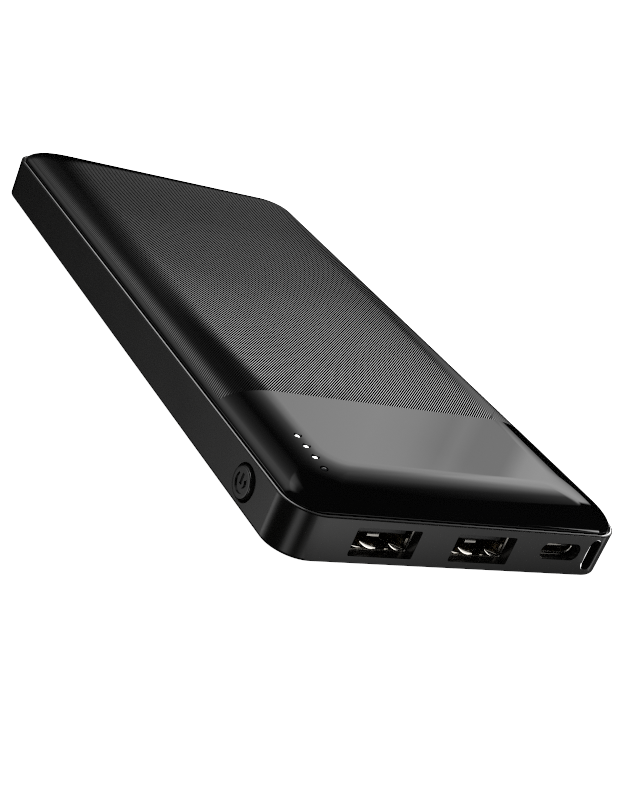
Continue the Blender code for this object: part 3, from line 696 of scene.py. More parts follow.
def slot_lip():
    """Polished break along the edge of both mouths of the strap slot, up to the rounded corner."""
    def recess(t):
        t = max(t, 0.0)
        return CORNER_R - sqrt(max(CORNER_R * CORNER_R - t * t, 0.0)) + (0.012 if t > 0 else 0.0)

    rings = []
    for side in (False, True):
        verts, faces, n, keep = [], [], 0, None
        steps = [(0.42, 0.45)] + [(0.42 - 0.97 * (sin(radians(a)) - sin(radians(3))),
                                   0.97 * (cos(radians(3)) - cos(radians(a)))) for a in (3, 7, 11, 15, 19, 22, 25)]
        steps += [(0.02, 0.14), (0.02, 0.45)]
        for off, depth in steps:
            loop = outline(SLOT_W + 2 * off, SLOT_H + 2 * off, SLOT_W / 2 - 0.01 + off, 12)
            if keep is None:
                sign = -1 if side else 1
                ok = [a * sign <= (0.8 if b > 0 else 0.3) for a, b in loop]
                first = next(i for i in range(len(loop)) if ok[i] and not ok[i - 1])
                keep = [(first + i) % len(loop) for i in range(len(loop)) if ok[(first + i) % len(loop)]]
            loop = [loop[i] for i in keep]
            n = len(loop)
            for a, b in loop:
                if side:
                    y = SLOT_Y + a
                    verts.append((W2 - max(depth, recess(-y - (L2 - CORNER_R))), y, SLOT_Z + b))
                else:
                    x = SLOT_X + a
                    verts.append((x, -L2 + max(depth, recess(x - (W2 - CORNER_R))), SLOT_Z + b))
        m = len(steps)
        for k in range(m):
            q = (k + 1) % m
            for i in range(n - 1):
                faces.append((k * n + i, k * n + i + 1, q * n + i + 1, q * n + i))
        faces.append(tuple(k * n for k in range(m)))
        faces.append(tuple(k * n + n - 1 for k in reversed(range(m))))
        rings.append((verts, faces))
    ob = join_meshes("slot_lip", rings, M['lip'])
    fix_normals(ob)
    ob.data.shade_smooth()
    ob.data.set_sharp_from_angle(angle=radians(30))
    return ob


# ------------------------------------------------------------------ cover
def cover_shell():
    n = 44
    ts = [(i / n) ** 0.8 for i in range(n + 1)]
    rings = [plan_ring(COVER_INSET, 8.15, CORNER_R - COVER_INSET)]
    rings += [dome_ring(t) for t in ts[:-1]]
    rings.append(dome_ring(1.0))
    inner = [dome_ring(t, COVER_T) for t in reversed([i / 16 for i in range(3, 17)])]
    lip_in = 3.0
    inner = [r for r in inner if W2 - max(p[0] for p in r) > lip_in + 0.05]
    outer_v, outer_f = loft(rings, cap0=False, cap1=True)
    # inside: from the flat ceiling down to the lip and back to the skirt
    down_rings = inner
    down_rings.append(plan_ring(lip_in, 8.9, CORNER_R - lip_in))
    down_rings.append(plan_ring(lip_in, 6.2, CORNER_R - lip_in))
    down_rings.append(plan_ring(2.1, 6.2, CORNER_R - 2.1))
    down_rings.append(plan_ring(2.1, 8.15, CORNER_R - 2.1))
    iv, jf = loft(down_rings, cap0=False, cap1=False)
    base = len(outer_v)
    m = len(rings[0])
    verts = outer_v + iv
    faces = outer_f + [tuple(base + i for i in f) for f in jf]
    faces.append(tuple(base + i for i in reversed(range(m))))            # ceiling
    last = base + (len(down_rings) - 1) * m
    for i in range(m):                                                   # skirt's underside
        j = (i + 1) % m
        faces.append((last + i, last + j, j, i))
    ob = fix_normals(make_object("cover_shell", verts, faces, None, 0))

    # bed that the ribs stand in
    q = [RIB_FROM + (1 - RIB_FROM) * (i / 30) ** 0.9 for i in range(31)]
    bed = [dome_ring(t, RIB_BED) for t in q]
    top = [dome_ring(t, -1.0) for t in reversed(q)]
    bv, bf = loft(bed, cap0=False, cap1=True)
    # the bed's floor is the lower side of the cutter
    tv, tf = loft(top, cap0=True, cap1=False)
    k = len(bv)
    verts = bv + tv
    faces = bf + [tuple(k + i for i in f) for f in tf]
    last = k + (len(top) - 1) * m
    for i in range(m):
        j = (i + 1) % m
        faces.append((last + i, last + j, j, i))
    cutter = fix_normals(make_object("bed", verts, faces, None, 0))
    carve(cutter, [(box("far_part", -40, 40, SEAM_Y, 80, 0, 20), 'INTERSECT')])
    steps = [(cutter, 'DIFFERENCE')]
    for sx in (-1, 1):
        for y in (-30.0, 12.0, 54.0):
            xs = sorted((sx * (W2 - 2.5), sx * (W2 - 1.65)))
            steps.append((box("bead", xs[0], xs[1], y - 3.0, y + 3.0, 6.3, 6.75), 'UNION'))
    steps.append((box("lip_cut", -24.2, 25.9, -69.0, -65.6, 5.5, 7.4), 'DIFFERENCE'))
    steps.append((box("lip_cut", 25.95, 34.0, -69.0, -61.2, 5.5, 7.98), 'DIFFERENCE'))
    steps.append((box("lip_cut", -34.0, -31.0, BTN_Y - 5.4, BTN_Y + 5.4, 5.5, 7.3), 'DIFFERENCE'))
    for y in LAMP_Y:
        steps.append((rod("lamp_hole", 'Z', (LAMP_X, y), [(9.5, 0.70), (13.5, 0.70)], 40), 'DIFFERENCE'))
    carve(ob, steps)
    only(ob, M['gloss'])

    def rule(p, fn):
        h = dome_h(p[:, 0], p[:, 1])
        z = dome_z(h)
        nrm = dome_normal(p[:, 0], p[:, 1], np.clip(h, 0, 1))
        on = (p[:, 2] > BAND_H + 0.002) & (np.abs(p[:, 2] - z) < 0.02 + 0.3 * (h < 0.02)) \
            & ((nrm * fn).sum(1) > 0.93)
        return nrm, on

    set_normals(ob, rule, 30.0)
    return ob


def cover_ribs():
    """Straight parallel ribs over the far part, each a closed bar that follows the dome."""
    d = np.array((1.0, 1.0)) / sqrt(2)          # along a rib
    w = np.array((1.0, -1.0)) / sqrt(2)         # across the ribs
    h0 = border(RIB_FROM)[0]
    r0 = (CORNER_R - COVER_INSET) * (1 - h0) + TOP_R * h0
    wx, wy = W2 - COVER_INSET - DOME_RUN * h0, L2 - COVER_INSET - DOME_RUN * h0

    def inside(x, y, wx, wy, r):
        qx, qy = np.abs(x) - (wx - r), np.abs(y) - (wy - r)
        return np.hypot(np.maximum(qx, 0), np.maximum(qy, 0)) + np.minimum(np.maximum(qx, qy), 0) - r

    def span(s, wx, wy, r, seam):
        """First and last position along the rib at offset s inside the outline, or None."""
        u = np.linspace(-90, 90, 3601)
        x, y = u * d[0] + s * w[0], u * d[1] + s * w[1]
        ok = inside(x, y, wx, wy, r) <= 0
        if seam:
            ok &= y >= SEAM_Y
        if not ok.any():
            return None
        i = np.where(ok)[0]
        ends = []
        for a, b in ((i[0], i[0] - 1), (i[-1], i[-1] + 1)):
            lo, hi = u[a], u[min(max(b, 0), 3600)]
            for _ in range(30):
                m = (lo + hi) / 2
                x, y = m * d[0] + s * w[0], m * d[1] + s * w[1]
                good = inside(np.array([x]), np.array([y]), wx, wy, r)[0] <= 0 and (not seam or y >= SEAM_Y)
                lo, hi = (m, hi) if good else (lo, m)
            ends.append(lo)
        return ends

    wt, lt = W2 - COVER_INSET - DOME_RUN, L2 - COVER_INSET - DOME_RUN
    rails = ((RIB_LIT - 1, RIB_H), (0.0, 0.0), (RIB_LIT, RIB_H), (RIB_LIT, RIB_BED + 0.06),
             (RIB_LIT - 1, RIB_BED + 0.06))
    verts, faces = [], []
    k0 = int((-(wx + wy) / sqrt(2)) / RIB_PITCH) - 1
    k1 = -k0 + 1
    n_end, n_mid = 13, 3
    for k in range(k0, k1 + 1):
        s0 = k * RIB_PITCH + RIB_SHIFT
        rows = []
        for off, drop in rails:
            s = s0 + off * RIB_PITCH
            ends = span(s, wx, wy, r0, True)
            if ends is None or ends[1] - ends[0] < 0.15:
                rows = None
                break
            flat = span(s, wt, lt, TOP_R, True)
            a, b = ends
            if flat is None or flat[1] - flat[0] < 0.5:
                u = a + (b - a) * (1 - np.cos(np.linspace(0, pi, 2 * n_end + n_mid))) / 2
            else:
                fa, fb = flat
                first = a + (fa - a) * np.linspace(0, 1, n_end) ** 1.5 if fa - a > 1e-3 \
                    else np.linspace(a, fa + 1e-3, n_end)
                last = b - (b - fb) * np.linspace(1, 0, n_end) ** 1.5 if b - fb > 1e-3 \
                    else np.linspace(fb - 1e-3, b, n_end)
                mid = np.linspace(fa, fb, n_mid + 2)[1:-1]
                u = np.concatenate([first, mid, last])
            x, y = u * d[0] + s * w[0], u * d[1] + s * w[1]
            h = dome_h(x, y)
            z = dome_z(h)
            nrm = dome_normal(x, y, h)
            rows.append(np.stack([x, y, z], 1) - nrm * drop)
        if rows is None:
            continue
        base, m = len(verts), len(rows[0])
        c = len(rails)
        for i in range(m):
            for row in rows:
                verts.append(tuple(row[i]))
        for i in range(m - 1):
            for j in range(c):
                a, b = base + i * c + j, base + i * c + (j + 1) % c
                faces.append((a, b, b + c, a + c))
        faces.append(tuple(base + j for j in reversed(range(c))))
        faces.append(tuple(base + (m - 1) * c + j for j in range(c)))
    ob = make_object("cover_ribs", verts, faces, M['rib'], 0)
    fix_normals(ob)
    ob.data.shade_smooth()
    ob.data.set_sharp_from_angle(angle=radians(18))
    return ob


# ------------------------------------------------------------------ button
def button_cap():
    rows = [(-35.0 + 2.1, 2.80), (-35.32, 2.80)]
    for i in range(1, 8):
        a = radians(90 * i / 7)
        rows.append((-35.32 - 0.28 * sin(a), 2.80 - 0.28 * (1 - cos(a))))
    rows.append((-35.60, 2.2))
    ob = rod("button_cap", 'X', (BTN_Y, BTN_Z), rows, 80)
    steps = [(box("flange", -33.0, -32.25, BTN_Y - 4.6, BTN_Y + 4.6, BTN_Z - 2.45, BTN_Z + 2.45), 'UNION'),
             (rod("stem", 'X', (BTN_Y, BTN_Z), [(-32.4, 0.6), (-31.6, 0.6)], 32), 'UNION')]
    # engraved on/off mark: a broad open ring and a bar
    def sunk(name, pts):
        rings = [[(x, BTN_Y + a, BTN_Z + b) for a, b in pts] for x in (-35.9, -35.60 + 0.24)]
        v, f = loft(rings)
        return fix_normals(make_object(name, v, f, None, 0))

    r_in, r_out = 0.95, 1.80
    outer = [(-r_out * sin(radians(a)), r_out * cos(radians(a))) for a in range(46, 315, 4)]
    inner = [(-r_in * sin(radians(a)), r_in * cos(radians(a))) for a in range(314, 45, -4)]
    bar = [(sx * 0.37 + 0.0, z) for sx, z in ((1, -0.30), (1, 1.62), (-1, 1.62), (-1, -0.30))]
    steps.append((sunk("ring_cut", outer + inner), 'DIFFERENCE'))
    steps.append((sunk("bar_cut", bar), 'DIFFERENCE'))
    carve(ob, steps)
    only(ob, M['button'])
    ob.data.shade_smooth()
    ob.data.set_sharp_from_angle(angle=radians(28))
    return ob


# ------------------------------------------------------------------ connectors
def sheet_strip(name, path, x0, x1, thick, mat, narrow=None, axis='Z'):
    """Bent strip of metal across X, along a Y-Z path; narrow gives half-width factors."""
    path = np.array(path, float)
    n = len(path)
    tang = np.gradient(path, axis=0)
    tang /= np.linalg.norm(tang, axis=1)[:, None]
    nrm = np.stack([-tang[:, 1], tang[:, 0]], 1)
    rings = []
    for i in range(n):
        k = 1.0 if narrow is None else narrow[i]
        c, hw = (x0 + x1) / 2, (x1 - x0) / 2 * k
        hi = path[i] + nrm[i] * thick / 2
        lo = path[i] - nrm[i] * thick / 2
        rings.append([(c - hw, lo[0], lo[1]), (c + hw, lo[0], lo[1]), (c + hw, hi[0], hi[1]), (c - hw, hi[0], hi[1])])
    return loft(rings)


def smooth_path(points, n):
    """Catmull-Rom through the points, n samples."""
    p = np.array([points[0]] + list(points) + [points[-1]], float)
    out = []
    segs = len(points) - 1
    for q in np.linspace(0, segs - 1e-9, n):
        i = int(q)
        t = q - i
        a, b, c, d = p[i:i + 4]
        out.append(0.5 * (2 * b + (c - a) * t + (2 * a - 5 * b + 4 * c - d) * t * t
                          + (3 * b - a - 3 * c + d) * t ** 3))
    return out


def join_meshes(name, parts, mat):
    verts, faces = [], []
    for v, f in parts:
        k = len(verts)
        verts += [tuple(p) for p in v]
        faces += [tuple(k + i for i in face) for face in f]
    return fix_normals(make_object(name, verts, faces, mat, 30.0))


def usb_a_shell(side, x):
    """Drawn shell with its four plug springs."""
    name = "usb_a_%s_shell_formed" % side
    out = [(-68.0, 13.0, 5.62, 0.55), (-67.95, 13.1, 5.72, 0.6), (-54.05, 13.1, 5.72, 0.6), (-54.0, 13.0, 5.62, 0.55)]
    ob = prism(name, 'Y', (x, A_Z), out)
    inner = [(-69.0, 12.8, 5.42, 0.5), (-68.0, 12.74, 5.36, 0.47), (-67.8, 12.5, 5.12, 0.35), (-53.0, 12.5, 5.12, 0.35)]
    steps = [(prism("hollow", 'Y', (x, A_Z), inner), 'DIFFERENCE')]
    carve(ob, steps)
    only(ob, M['plated'])
    ob.data.shade_smooth()
    ob.data.set_sharp_from_angle(angle=radians(28))
    floor = A_Z - 2.56
    parts = []
    path = smooth_path([(-61.0, floor - 0.02), (-62.2, floor + 0.10), (-64.6, floor + 0.34), (-66.6, floor + 0.40),
                        (-67.2, floor + 0.30)], 22)
    for dx in (-1.35, 4.25):
        parts.append(sheet_strip("spring", path, x + dx - 1.5, x + dx + 1.5, 0.2, None))

    def lip(points, half, side=0.0, thick=0.12):
        """Raised forward edge of a spring, facing outwards and up, turned sideways by side."""
        rings = []
        for i, (px, py, pz) in enumerate(points):
            k = half * (0.35 + 0.65 * sin(pi * (i + 0.5) / len(points)))
            c = np.array((x + px, py, pz))
            out = unit((side, -0.8, 0.6 - 0.2 * abs(side)))
            up = unit(np.cross((1, 0, 0), out)) * -1
            up = up if up[2] > 0 else -up
            rings.append([tuple(c + up * a * k + out * b * thick) for a, b in
                          ((-1, 0), (-0.55, 0.42), (0, 0.6), (0.55, 0.42), (1, 0), (0, -0.6))])
        return loft(rings)

    def bow(a, b, n=9, sag=0.25):
        out = []
        for i in range(n):
            t = i / (n - 1)
            p = [a[k] + (b[k] - a[k]) * t for k in range(3)]
            p[2] -= sag * 4 * t * (1 - t)
            out.append(p)
        return out

    parts.append(lip(bow((-3.05, -67.55, 2.85), (0.35, -67.75, 1.90)), 0.34))
    parts.append(lip(bow((2.75, -67.55, 2.75), (5.75, -67.75, 1.90)), 0.36, -0.35))
    parts.append(lip(bow((-4.45, -67.6, 2.02), (-2.60, -67.72, 1.86), sag=0.05), 0.17))
    parts.append(lip(bow((-5.9, -67.6, 1.98), (-5.0, -67.72, 1.90), sag=0.03), 0.15))
    # side springs bow in from the end walls
    for sx in (-1, 1):
        wall = x + sx * 6.25
        pts = smooth_path([(-61.2, 0.02), (-62.4, -0.08), (-64.2, -0.42), (-65.6, -0.5), (-66.8, -0.2), (-67.3, -0.12)], 24)
        rings = []
        for y, off in pts:
            cx = wall + sx * off
            rings.append([(cx - sx * 0.1, y, 2.3), (cx + sx * 0.1, y, 2.3), (cx + sx * 0.1, y, 3.7), (cx - sx * 0.1, y, 3.7)])
        parts.append(loft(rings))
    # nose tab of the tongue
    tab = lambda y, g: [(x - 1.85 + g, y, 3.66 + g), (x + 0.45 - g, y, 3.66 + g), (x + 0.45 - g, y, 4.2 - g), (x - 1.85 + g, y, 4.2 - g)]
    parts.append(loft([tab(-67.34, 0.08), tab(-67.26, 0.0), tab(-66.9, 0.0)]))
    springs = join_meshes("usb_a_%s_springs" % side, parts, M['plated'])
    return ob, springs


def usb_c_detail():
    """Drawn shell with a rolled front edge, tongue with its contact pads."""
    out = [(-68.0, 8.84, 3.06, 1.52), (-67.93, 8.92, 3.14, 1.56), (-60.65, 8.94, 3.16, 1.57)]
    shell = prism("usb_c_shell_formed", 'Y', (C_X, C_Z), out)
    inner = [(-69.0, 8.62, 2.84, 1.41), (-68.0, 8.56, 2.78, 1.38), (-67.86, 8.34, 2.56, 1.27), (-60.0, 8.34, 2.56, 1.27)]
    carve(shell, [(prism("hollow", 'Y', (C_X, C_Z), inner), 'DIFFERENCE')])
    only(shell, M['plated'])
    shell.data.shade_smooth()
    shell.data.set_sharp_from_angle(angle=radians(28))
    pads = []
    for i in range(12):
        px = C_X - 2.75 + 0.5 * i
        for zz in (C_Z + 0.35, C_Z - 0.35):
            ring = lambda y, g: [(px - 0.125 + g, y, zz - 0.02), (px + 0.125 - g, y, zz - 0.02),
                                 (px + 0.125 - g, y, zz + 0.02), (px - 0.125 + g, y, zz + 0.02)]
            pads.append(loft([ring(-67.2, 0.03), ring(-67.1, 0.0), ring(-63.0, 0.0)]))
    nose = lambda y, g: [(C_X - 2.05 + g, y, C_Z - 0.17 + g), (C_X + 1.85 - g, y, C_Z - 0.17 + g),
                         (C_X + 1.85 - g, y, C_Z + 0.17 - g), (C_X - 2.05 + g, y, C_Z + 0.17 - g)]
    plate = join_meshes("usb_c_plate", [loft([nose(-67.8, 0.05), nose(-67.74, 0.0), nose(-67.4, 0.0)])], M['plated'])
    pads = join_meshes("usb_c_pads", pads, M['gold'])
    return shell, pads, plate


case = case_body()
bead = rim_bead()
lip = slot_lip()
shell = cover_shell()
ribs = cover_ribs()
cap = button_cap()
a_left, s_left = usb_a_shell("left", A_X[0])
a_right, s_right = usb_a_shell("right", A_X[1])
c_shell, c_pads, c_plate = usb_c_detail()

for piece, body, node, slot in (
        (case, "case", "bottom_case", "case"), (bead, "case", "bottom_case", "case"),
        (lip, "case", "bottom_case", "case"), (shell, "case", "top_cover", "cover"),
        (ribs, "case", "top_cover", "cover"), (cap, "button", "power_button", "button"),
        (a_left, "case", "usb_a_left_shell", "plated"), (s_left, "case", "usb_a_left_shell", "plated"),
        (a_right, "case", "usb_a_right_shell", "plated"), (s_right, "case", "usb_a_right_shell", "plated"),
        (c_shell, "case", "usb_c_shell", "plated"), (c_pads, "case", None, "contacts"),
        (c_plate, "case", "usb_c_shell", "plated")):
    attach(piece, body)
    if node:
        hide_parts(node)


# ------------------------------------------------------------------ stage
floor_mesh = bpy.data.meshes.new("floor")
bm = bmesh.new()
bmesh.ops.create_circle(bm, cap_ends=True, segments=96, radius=25.0)
bm.to_mesh(floor_mesh)
bm.free()
floor = bpy.data.objects.new("floor", floor_mesh)
SCENE.collection.objects.link(floor)
mat = bpy.data.materials.new("floor_pale")
mat.use_nodes = True
mat.node_tree.nodes.clear()
g = Graph(mat.node_tree)
out = g.node('ShaderNodeOutputMaterial')
dif = g.node('ShaderNodeBsdfDiffuse')
dif.inputs['Color'].default_value = (0.5, 0.5, 0.5, 1)
emi = g.node('ShaderNodeEmission')
emi.inputs['Color'].default_value = (1, 1, 1, 1)
emi.inputs['Strength'].default_value = 0.85
add = g.node('ShaderNodeAddShader')
g.put(add.inputs[0], dif.outputs[0])
g.put(add.inputs[1], emi.outputs[0])
g.put(out.inputs['Surface'], add.outputs[0])
mat.cycles.emission_sampling = 'NONE'
floor_mesh.materials.append(mat)
floor.visible_glossy = False

# soft surround: plain white for the floor and matt surfaces
world = bpy.data.worlds.new("studio")
SCENE.world = world
world.use_nodes = True
bg = world.node_tree.nodes.get('Background') or world.node_tree.nodes.new('ShaderNodeBackground')
bg.inputs['Color'].default_value = (1, 1, 1, 1)
bg.inputs['Strength'].default_value = 1.0
world.cycles_visibility.glossy = False
world.cycles.sampling_method = 'NONE'


def softboxes(name, radius, paint, receivers, state):
    """Large sphere of light seen in reflections only; paint gives its strength by direction."""
    mesh = bpy.data.meshes.new(name)
    bm = bmesh.new()
    bmesh.ops.create_icosphere(bm, subdivisions=4, radius=radius)
    bm.to_mesh(mesh)
    bm.free()
    mesh.shade_smooth()
    ob = bpy.data.objects.new(name, mesh)
    SCENE.collection.objects.link(ob)
    mat = bpy.data.materials.new(name)
    mat.use_nodes = True
    mat.node_tree.nodes.clear()
    g = Graph(mat.node_tree)
    out = g.node('ShaderNodeOutputMaterial')
    sep = g.node('ShaderNodeSeparateXYZ')
    g.put(sep.inputs[0], g.vmath('NORMALIZE', g.node('ShaderNodeTexCoord').outputs['Object']))
    az = g.math('MULTIPLY', g.math('ARCTAN2', sep.outputs['X'], sep.outputs['Y']), 180 / pi)
    el = g.math('MULTIPLY', g.math('ARCSINE', sep.outputs['Z']), 180 / pi)
    strength = paint(g, az, el)
    emi = g.node('ShaderNodeEmission')
    g.put(emi.inputs['Strength'], strength)
    tra = g.node('ShaderNodeBsdfTransparent')
    add = g.node('ShaderNodeAddShader')
    g.put(add.inputs[0], emi.outputs[0])
    g.put(add.inputs[1], tra.outputs[0])
    g.put(out.inputs['Surface'], add.outputs[0])
    mat.cycles.emission_sampling = 'NONE'
    mesh.materials.append(mat)
    for flag in ('visible_camera', 'visible_diffuse', 'visible_transmission',
                 'visible_volume_scatter', 'visible_shadow'):
        setattr(ob, flag, False)
    coll = bpy.data.collections.new(name + "_receivers")
    ob.light_linking.receiver_collection = coll
    for r in receivers:
        coll.objects.link(r)
    for item in coll.collection_objects:
        item.light_linking.link_state = state
    return ob


def paint_main(g, az, el):
    """Right rear softbox, left rear softbox, small front strip and the low cards."""
    edge = g.ramp(el, [(0, 44), (8, 48), (12, 54), (16, 60), (28, 61), (36, 66), (48, 72)])
    cut = g.remap(g.math('SUBTRACT', az, edge), -0.9, 0.9, 1.0, 0.0, True)
    a = g.math('MULTIPLY', g.ramp(az, [(11, 0), (18, 0.08), (24, 0.2), (30, 0.4), (36, 0.86), (42, 1), (70, 1)]),
               g.ramp(el, [(2, 0), (4, 0.015), (8, 0.16), (12, 0.28), (16, 0.52), (20, 0.78), (24, 1), (29, 1),
                           (32, 0.60), (36, 0.30), (40, 0.13), (44, 0.04), (48, 0)]))
    a = g.math('MULTIPLY', g.math('MULTIPLY', a, cut), 1.85)
    a = g.math('MULTIPLY', a, g.math('SUBTRACT', 1.0, g.math(
        'MULTIPLY', g.ramp(az, [(54, 0), (60, 0.55)]), g.ramp(el, [(31, 0), (35, 1)]))))
    dip = g.math('MULTIPLY', g.ramp(az, [(40.6, 0), (42.4, 0.12), (43.7, 0.28), (44.3, 0.20), (45.0, 0.31),
                                         (46.5, 0.30), (47.3, 0.0)]),
                 g.ramp(el, [(0, 1), (21.6, 1), (25, 0)]))
    a = g.math('MULTIPLY', a, g.math('SUBTRACT', g.ramp(az, [(30, 1.0), (46.8, 1.0), (48, 1.17), (60, 1.12)]), dip))
    b = g.math('MULTIPLY',
               g.ramp(az, [(-62, 0), (-56, 0.5), (-48, 0.9), (-42, 1), (-24, 1), (-18, 0.6), (-12, 0.38),
                           (-6, 0.25), (0, 0.15), (6, 0.09), (14, 0)]),
               g.ramp(el, [(-4, 0), (1, 0.06), (5, 0.17), (9, 0.25), (12, 0.33), (16, 0.45),
                           (20, 0.54), (24, 0.67), (30, 0.86), (44, 0.91), (54, 0.87), (60, 0.45), (66, 0)]))
    c = g.math('MULTIPLY', g.ramp(az, [(130.4, 0), (131.4, 1), (134.0, 1), (134.7, 0)]),
               g.ramp(el, [(-4, 0), (-1, 8.0), (7, 8.0), (11, 4.0), (15.5, 0.5), (18, 0)]))
    t = g.math('MULTIPLY', g.ramp(az, [(-70, 0), (-55, 0.25), (-30, 0.6), (-8, 0.6), (0, 0.4), (7, 0)]),
               g.ramp(el, [(45, 0), (49, 1), (58, 1), (66, 0.35), (73, 0)]))
    c = g.math('ADD', c, t)
    # low cards, seen only by the upright band
    low = g.ramp(el, [(-40, 0), (-33, 0.4), (-28.5, 1), (-14, 1), (-4, 0)])
    front_left = g.math('ADD', g.ramp(az, [(-180, 0.31), (-166, 0.0)]),
                        g.ramp(az, [(-156, 0.04), (-147, 0.5), (-140, 1.15), (-133, 1.35), (-126, 0.55),
                                    (-119, 0.03), (-110, 0.0)]))
    left = g.ramp(az, [(-76, 0.0), (-66, 0.06), (-56, 0.62), (-48, 1.6), (-42, 1.45), (-38.5, 0.20),
                       (-33, 0.17), (-28, 0.08), (-22, 0.01), (0, 0.0)])
    right = g.ramp(az, [(98, 0.0), (102, 1.0), (107, 1.0), (111, 0.0)])
    front = g.ramp(az, [(20, 0.0), (60, 0.05), (98, 0.1), (111, 0.1), (118, 0.5), (126, 0.8), (150, 1.1),
                        (168, 0.9), (180, 0.35)])
    d = g.math('ADD', g.math('ADD', front_left, left), g.math('ADD', right, front))
    d = g.math('MULTIPLY', d, low)
    return g.math('ADD', g.math('ADD', a, b), g.math('ADD', c, d))


def paint_ribs(g, az, el):
    """What the ribs' flanks reflect: one tall panel that brightens towards the near end."""
    u = g.math('ADD', az, g.math('MULTIPLY', el, 0.42))
    e = g.ramp(u, [(54, 0.93), (57.8, 0.96), (58.7, 1.08), (59.4, 1.40), (59.8, 1.46), (61.2, 1.95), (62.3, 3.0),
                   (63.6, 4.1), (64.4, 4.7), (65.0, 5.3), (66.0, 5.9), (67.2, 5.0), (69.5, 1.1)])
    win = g.math('MULTIPLY', g.remap(az, 39, 45, 0, 1, True),
                 g.ramp(el, [(-8, 0.0), (0, 0.3), (10, 0.62), (13.8, 0.82), (16, 0.95), (19, 1), (22, 1), (25, 0.9),
                             (28, 0.75), (32, 0.46), (38, 0.18), (46, 0.07), (50, 0.03), (54, 0)]))
    e = g.math('MULTIPLY', e, win)
    b = g.math('MULTIPLY', g.ramp(az, [(-70, 0), (-50, 0.2), (-30, 0.3), (-13, 0.3), (-7, 0.2), (-2.4, 0.1),
                                       (2, 0.04), (20, 0.0)]),
               g.ramp(el, [(0, 0.1), (5, 0.3), (10, 0.55), (15, 1), (40, 1.0), (50, 0)]))
    top = g.ramp(el, [(44, 0), (48, 0.12), (52, 0.15), (56, 0.28), (58.5, 0.5), (61, 0.9), (64, 1.6), (68, 3.1), (72, 4.2), (90, 4.2)])
    return g.math('ADD', g.math('ADD', e, b), top)


def paint_button(g, az, el):
    """As the case, with a high box for the cap's bevel and a low one for its side."""
    a = g.math('MULTIPLY', g.ramp(az, [(-140, 0), (-115, 5.0), (-70, 5.0), (-45, 0)]),
               g.ramp(el, [(44, 0), (54, 1), (70, 1), (80, 0.3)]))
    b = g.math('MULTIPLY', g.ramp(az, [(-150, 0), (-138, 1.6), (-118, 1.6), (-108, 0)]),
               g.ramp(el, [(-34, 0), (-28, 1), (-8, 1), (0, 0)]))
    return g.math('ADD', paint_main(g, az, el), g.math('ADD', a, b))


def paint_rim(g, az, el):
    """High strips that the polished bevel catches."""
    a = g.math('MULTIPLY', g.ramp(az, [(-60, 0), (-40, 1.2), (-20, 3.2), (28, 3.2), (38, 1.9), (50, 0.8), (75, 0.7), (90, 0.4)]),
               g.ramp(el, [(24, 0), (32, 0.9), (36, 1), (70, 1), (80, 0.4)]))
    b = g.math('MULTIPLY', g.ramp(az, [(38, 0), (44, 2.0), (62, 2.4), (70, 0)]), g.ramp(el, [(6, 0), (12, 1), (26, 1), (32, 0)]))
    c = g.math('MULTIPLY', g.ramp(az, [(50, 0), (56, 1.0), (64, 4.0), (68, 6.0), (86, 6.0), (90, 0)]),
               g.ramp(el, [(-14, 0), (-8, 1), (36, 1), (40, 0)]))
    d = g.math('MULTIPLY', g.ramp(az, [(80, 0), (84, 0.9), (96, 0.9), (100, 0)]),
               g.ramp(el, [(36, 0), (40, 1), (45, 1), (51, 0)]))
    return g.math('ADD', g.math('ADD', a, b), g.math('ADD', c, d))


def paint_lip(g, az, el):
    """Two small cards that the slot's polished edge catches, and a dim one for its far side."""
    a = g.math('MULTIPLY', g.ramp(az, [(84, 0), (88, 9), (122, 9), (126, 0)]),
               g.ramp(el, [(-22.32, 0), (-22.22, 1), (-14, 1), (-11, 0)]))
    b = g.math('MULTIPLY', g.ramp(az, [(106, 0), (109, 7), (148, 7), (152, 0)]),
               g.ramp(el, [(-50, 0), (-46, 1), (-34, 1), (-31, 0)]))
    c = g.math('MULTIPLY', g.ramp(az, [(146, 0), (150, 1.3), (168, 1.3), (172, 0)]),
               g.ramp(el, [(-30, 0), (-26, 1), (-16, 1), (-12, 0)]))
    return g.math('ADD', g.math('ADD', a, b), c)


def paint_ports(g, az, el):
    """Front boxes that only the connectors' metal and tongues pick up."""
    a = g.math('MULTIPLY', g.ramp(az, [(70, 0), (95, 0.8), (110, 1.9), (140, 2.5), (170, 2.0), (180, 1.0)]),
               g.ramp(el, [(-24, 1.1), (0, 1.0), (12, 0.6), (30, 0.36), (50, 0.3), (70, 0.1), (80, 0)]))
    b = g.math('MULTIPLY', g.ramp(az, [(-180, 1.2), (-160, 0.7), (-120, 0.1), (-100, 0)]),
               g.ramp(el, [(-20, 0.2), (0, 0.8), (40, 1), (60, 0)]))
    c = g.math('MULTIPLY', g.ramp(az, [(0, 0), (20, 0.4), (60, 0.5), (80, 0)]), g.ramp(el, [(0, 0), (20, 1), (60, 0)]))
    return g.math('ADD', g.math('ADD', a, b), c)


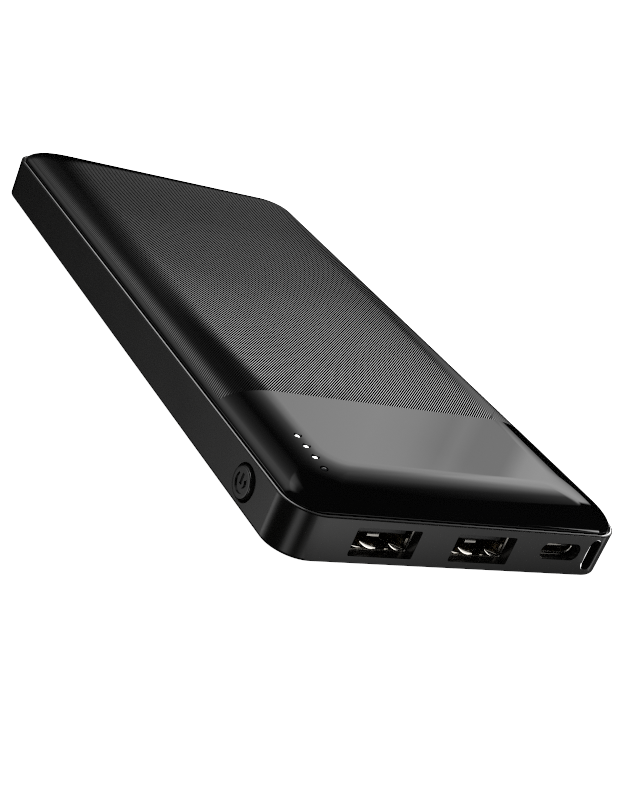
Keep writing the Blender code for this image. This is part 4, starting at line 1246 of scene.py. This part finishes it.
def ground_card(name, x0, x1, y0, y1, paint):
    """Card under the floor line, seen in reflections only."""
    ob = make_object(name, [(x0, y0, -0.3), (x1, y0, -0.3), (x1, y1, -0.3), (x0, y1, -0.3)], [(0, 1, 2, 3)], None, 0)
    mat = bpy.data.materials.new(name)
    mat.use_nodes = True
    mat.node_tree.nodes.clear()
    g = Graph(mat.node_tree)
    out = g.node('ShaderNodeOutputMaterial')
    sep = g.node('ShaderNodeSeparateXYZ')
    g.put(sep.inputs[0], g.node('ShaderNodeTexCoord').outputs['Object'])
    emi = g.node('ShaderNodeEmission')
    g.put(emi.inputs['Strength'], paint(g, g.math('MULTIPLY', sep.outputs['X'], 1000.0),
                                        g.math('MULTIPLY', sep.outputs['Y'], 1000.0)))
    g.put(out.inputs['Surface'], emi.outputs[0])
    mat.cycles.emission_sampling = 'NONE'
    ob.data.materials.append(mat)
    for flag in ('visible_camera', 'visible_diffuse', 'visible_transmission',
                 'visible_volume_scatter', 'visible_shadow'):
        setattr(ob, flag, False)
    return ob


def paint_front_card(g, x, y):
    """Darker close to the front face, so the face shades off downwards."""
    return g.math('MULTIPLY', g.ramp(y, [(-110, 1.0), (-90, 1.45), (-82, 1.3), (-76, 0.85), (-71, 0.5), (-70, 0.35)]),
                  g.ramp(x, [(-29.5, 0.80), (-20, 0.86), (0, 0.62), (15, 0.48), (34, 0.40), (43, 0.38)]))


in_ports = [a_left, s_left, a_right, s_right, c_shell, c_pads, c_plate]
in_ports += [ob for name, ob in NODES.items() if name.startswith(('usb_a_left_', 'usb_a_right_', 'usb_c_'))
             and not name.endswith('_shell')]
softboxes("softboxes_main", 6.0, paint_main, [ribs, bead, lip, cap] + in_ports, 'EXCLUDE')
softboxes("softboxes_button", 6.1, paint_button, [cap], 'INCLUDE')
softboxes("softboxes_rim", 6.25, paint_rim, [bead], 'INCLUDE')
softboxes("softboxes_lip", 6.4, paint_lip, [lip], 'INCLUDE')
softboxes("softboxes_ribs", 5.9, paint_ribs, [ribs], 'INCLUDE')
softboxes("softboxes_ports", 7.0, paint_ports, in_ports, 'INCLUDE')
ground_card("card_front", -29.5, 33.5, -110.0, -70.0, paint_front_card)
ground_card("card_front_end", 33.5, 44.0, -110.0, -76.0, paint_front_card)
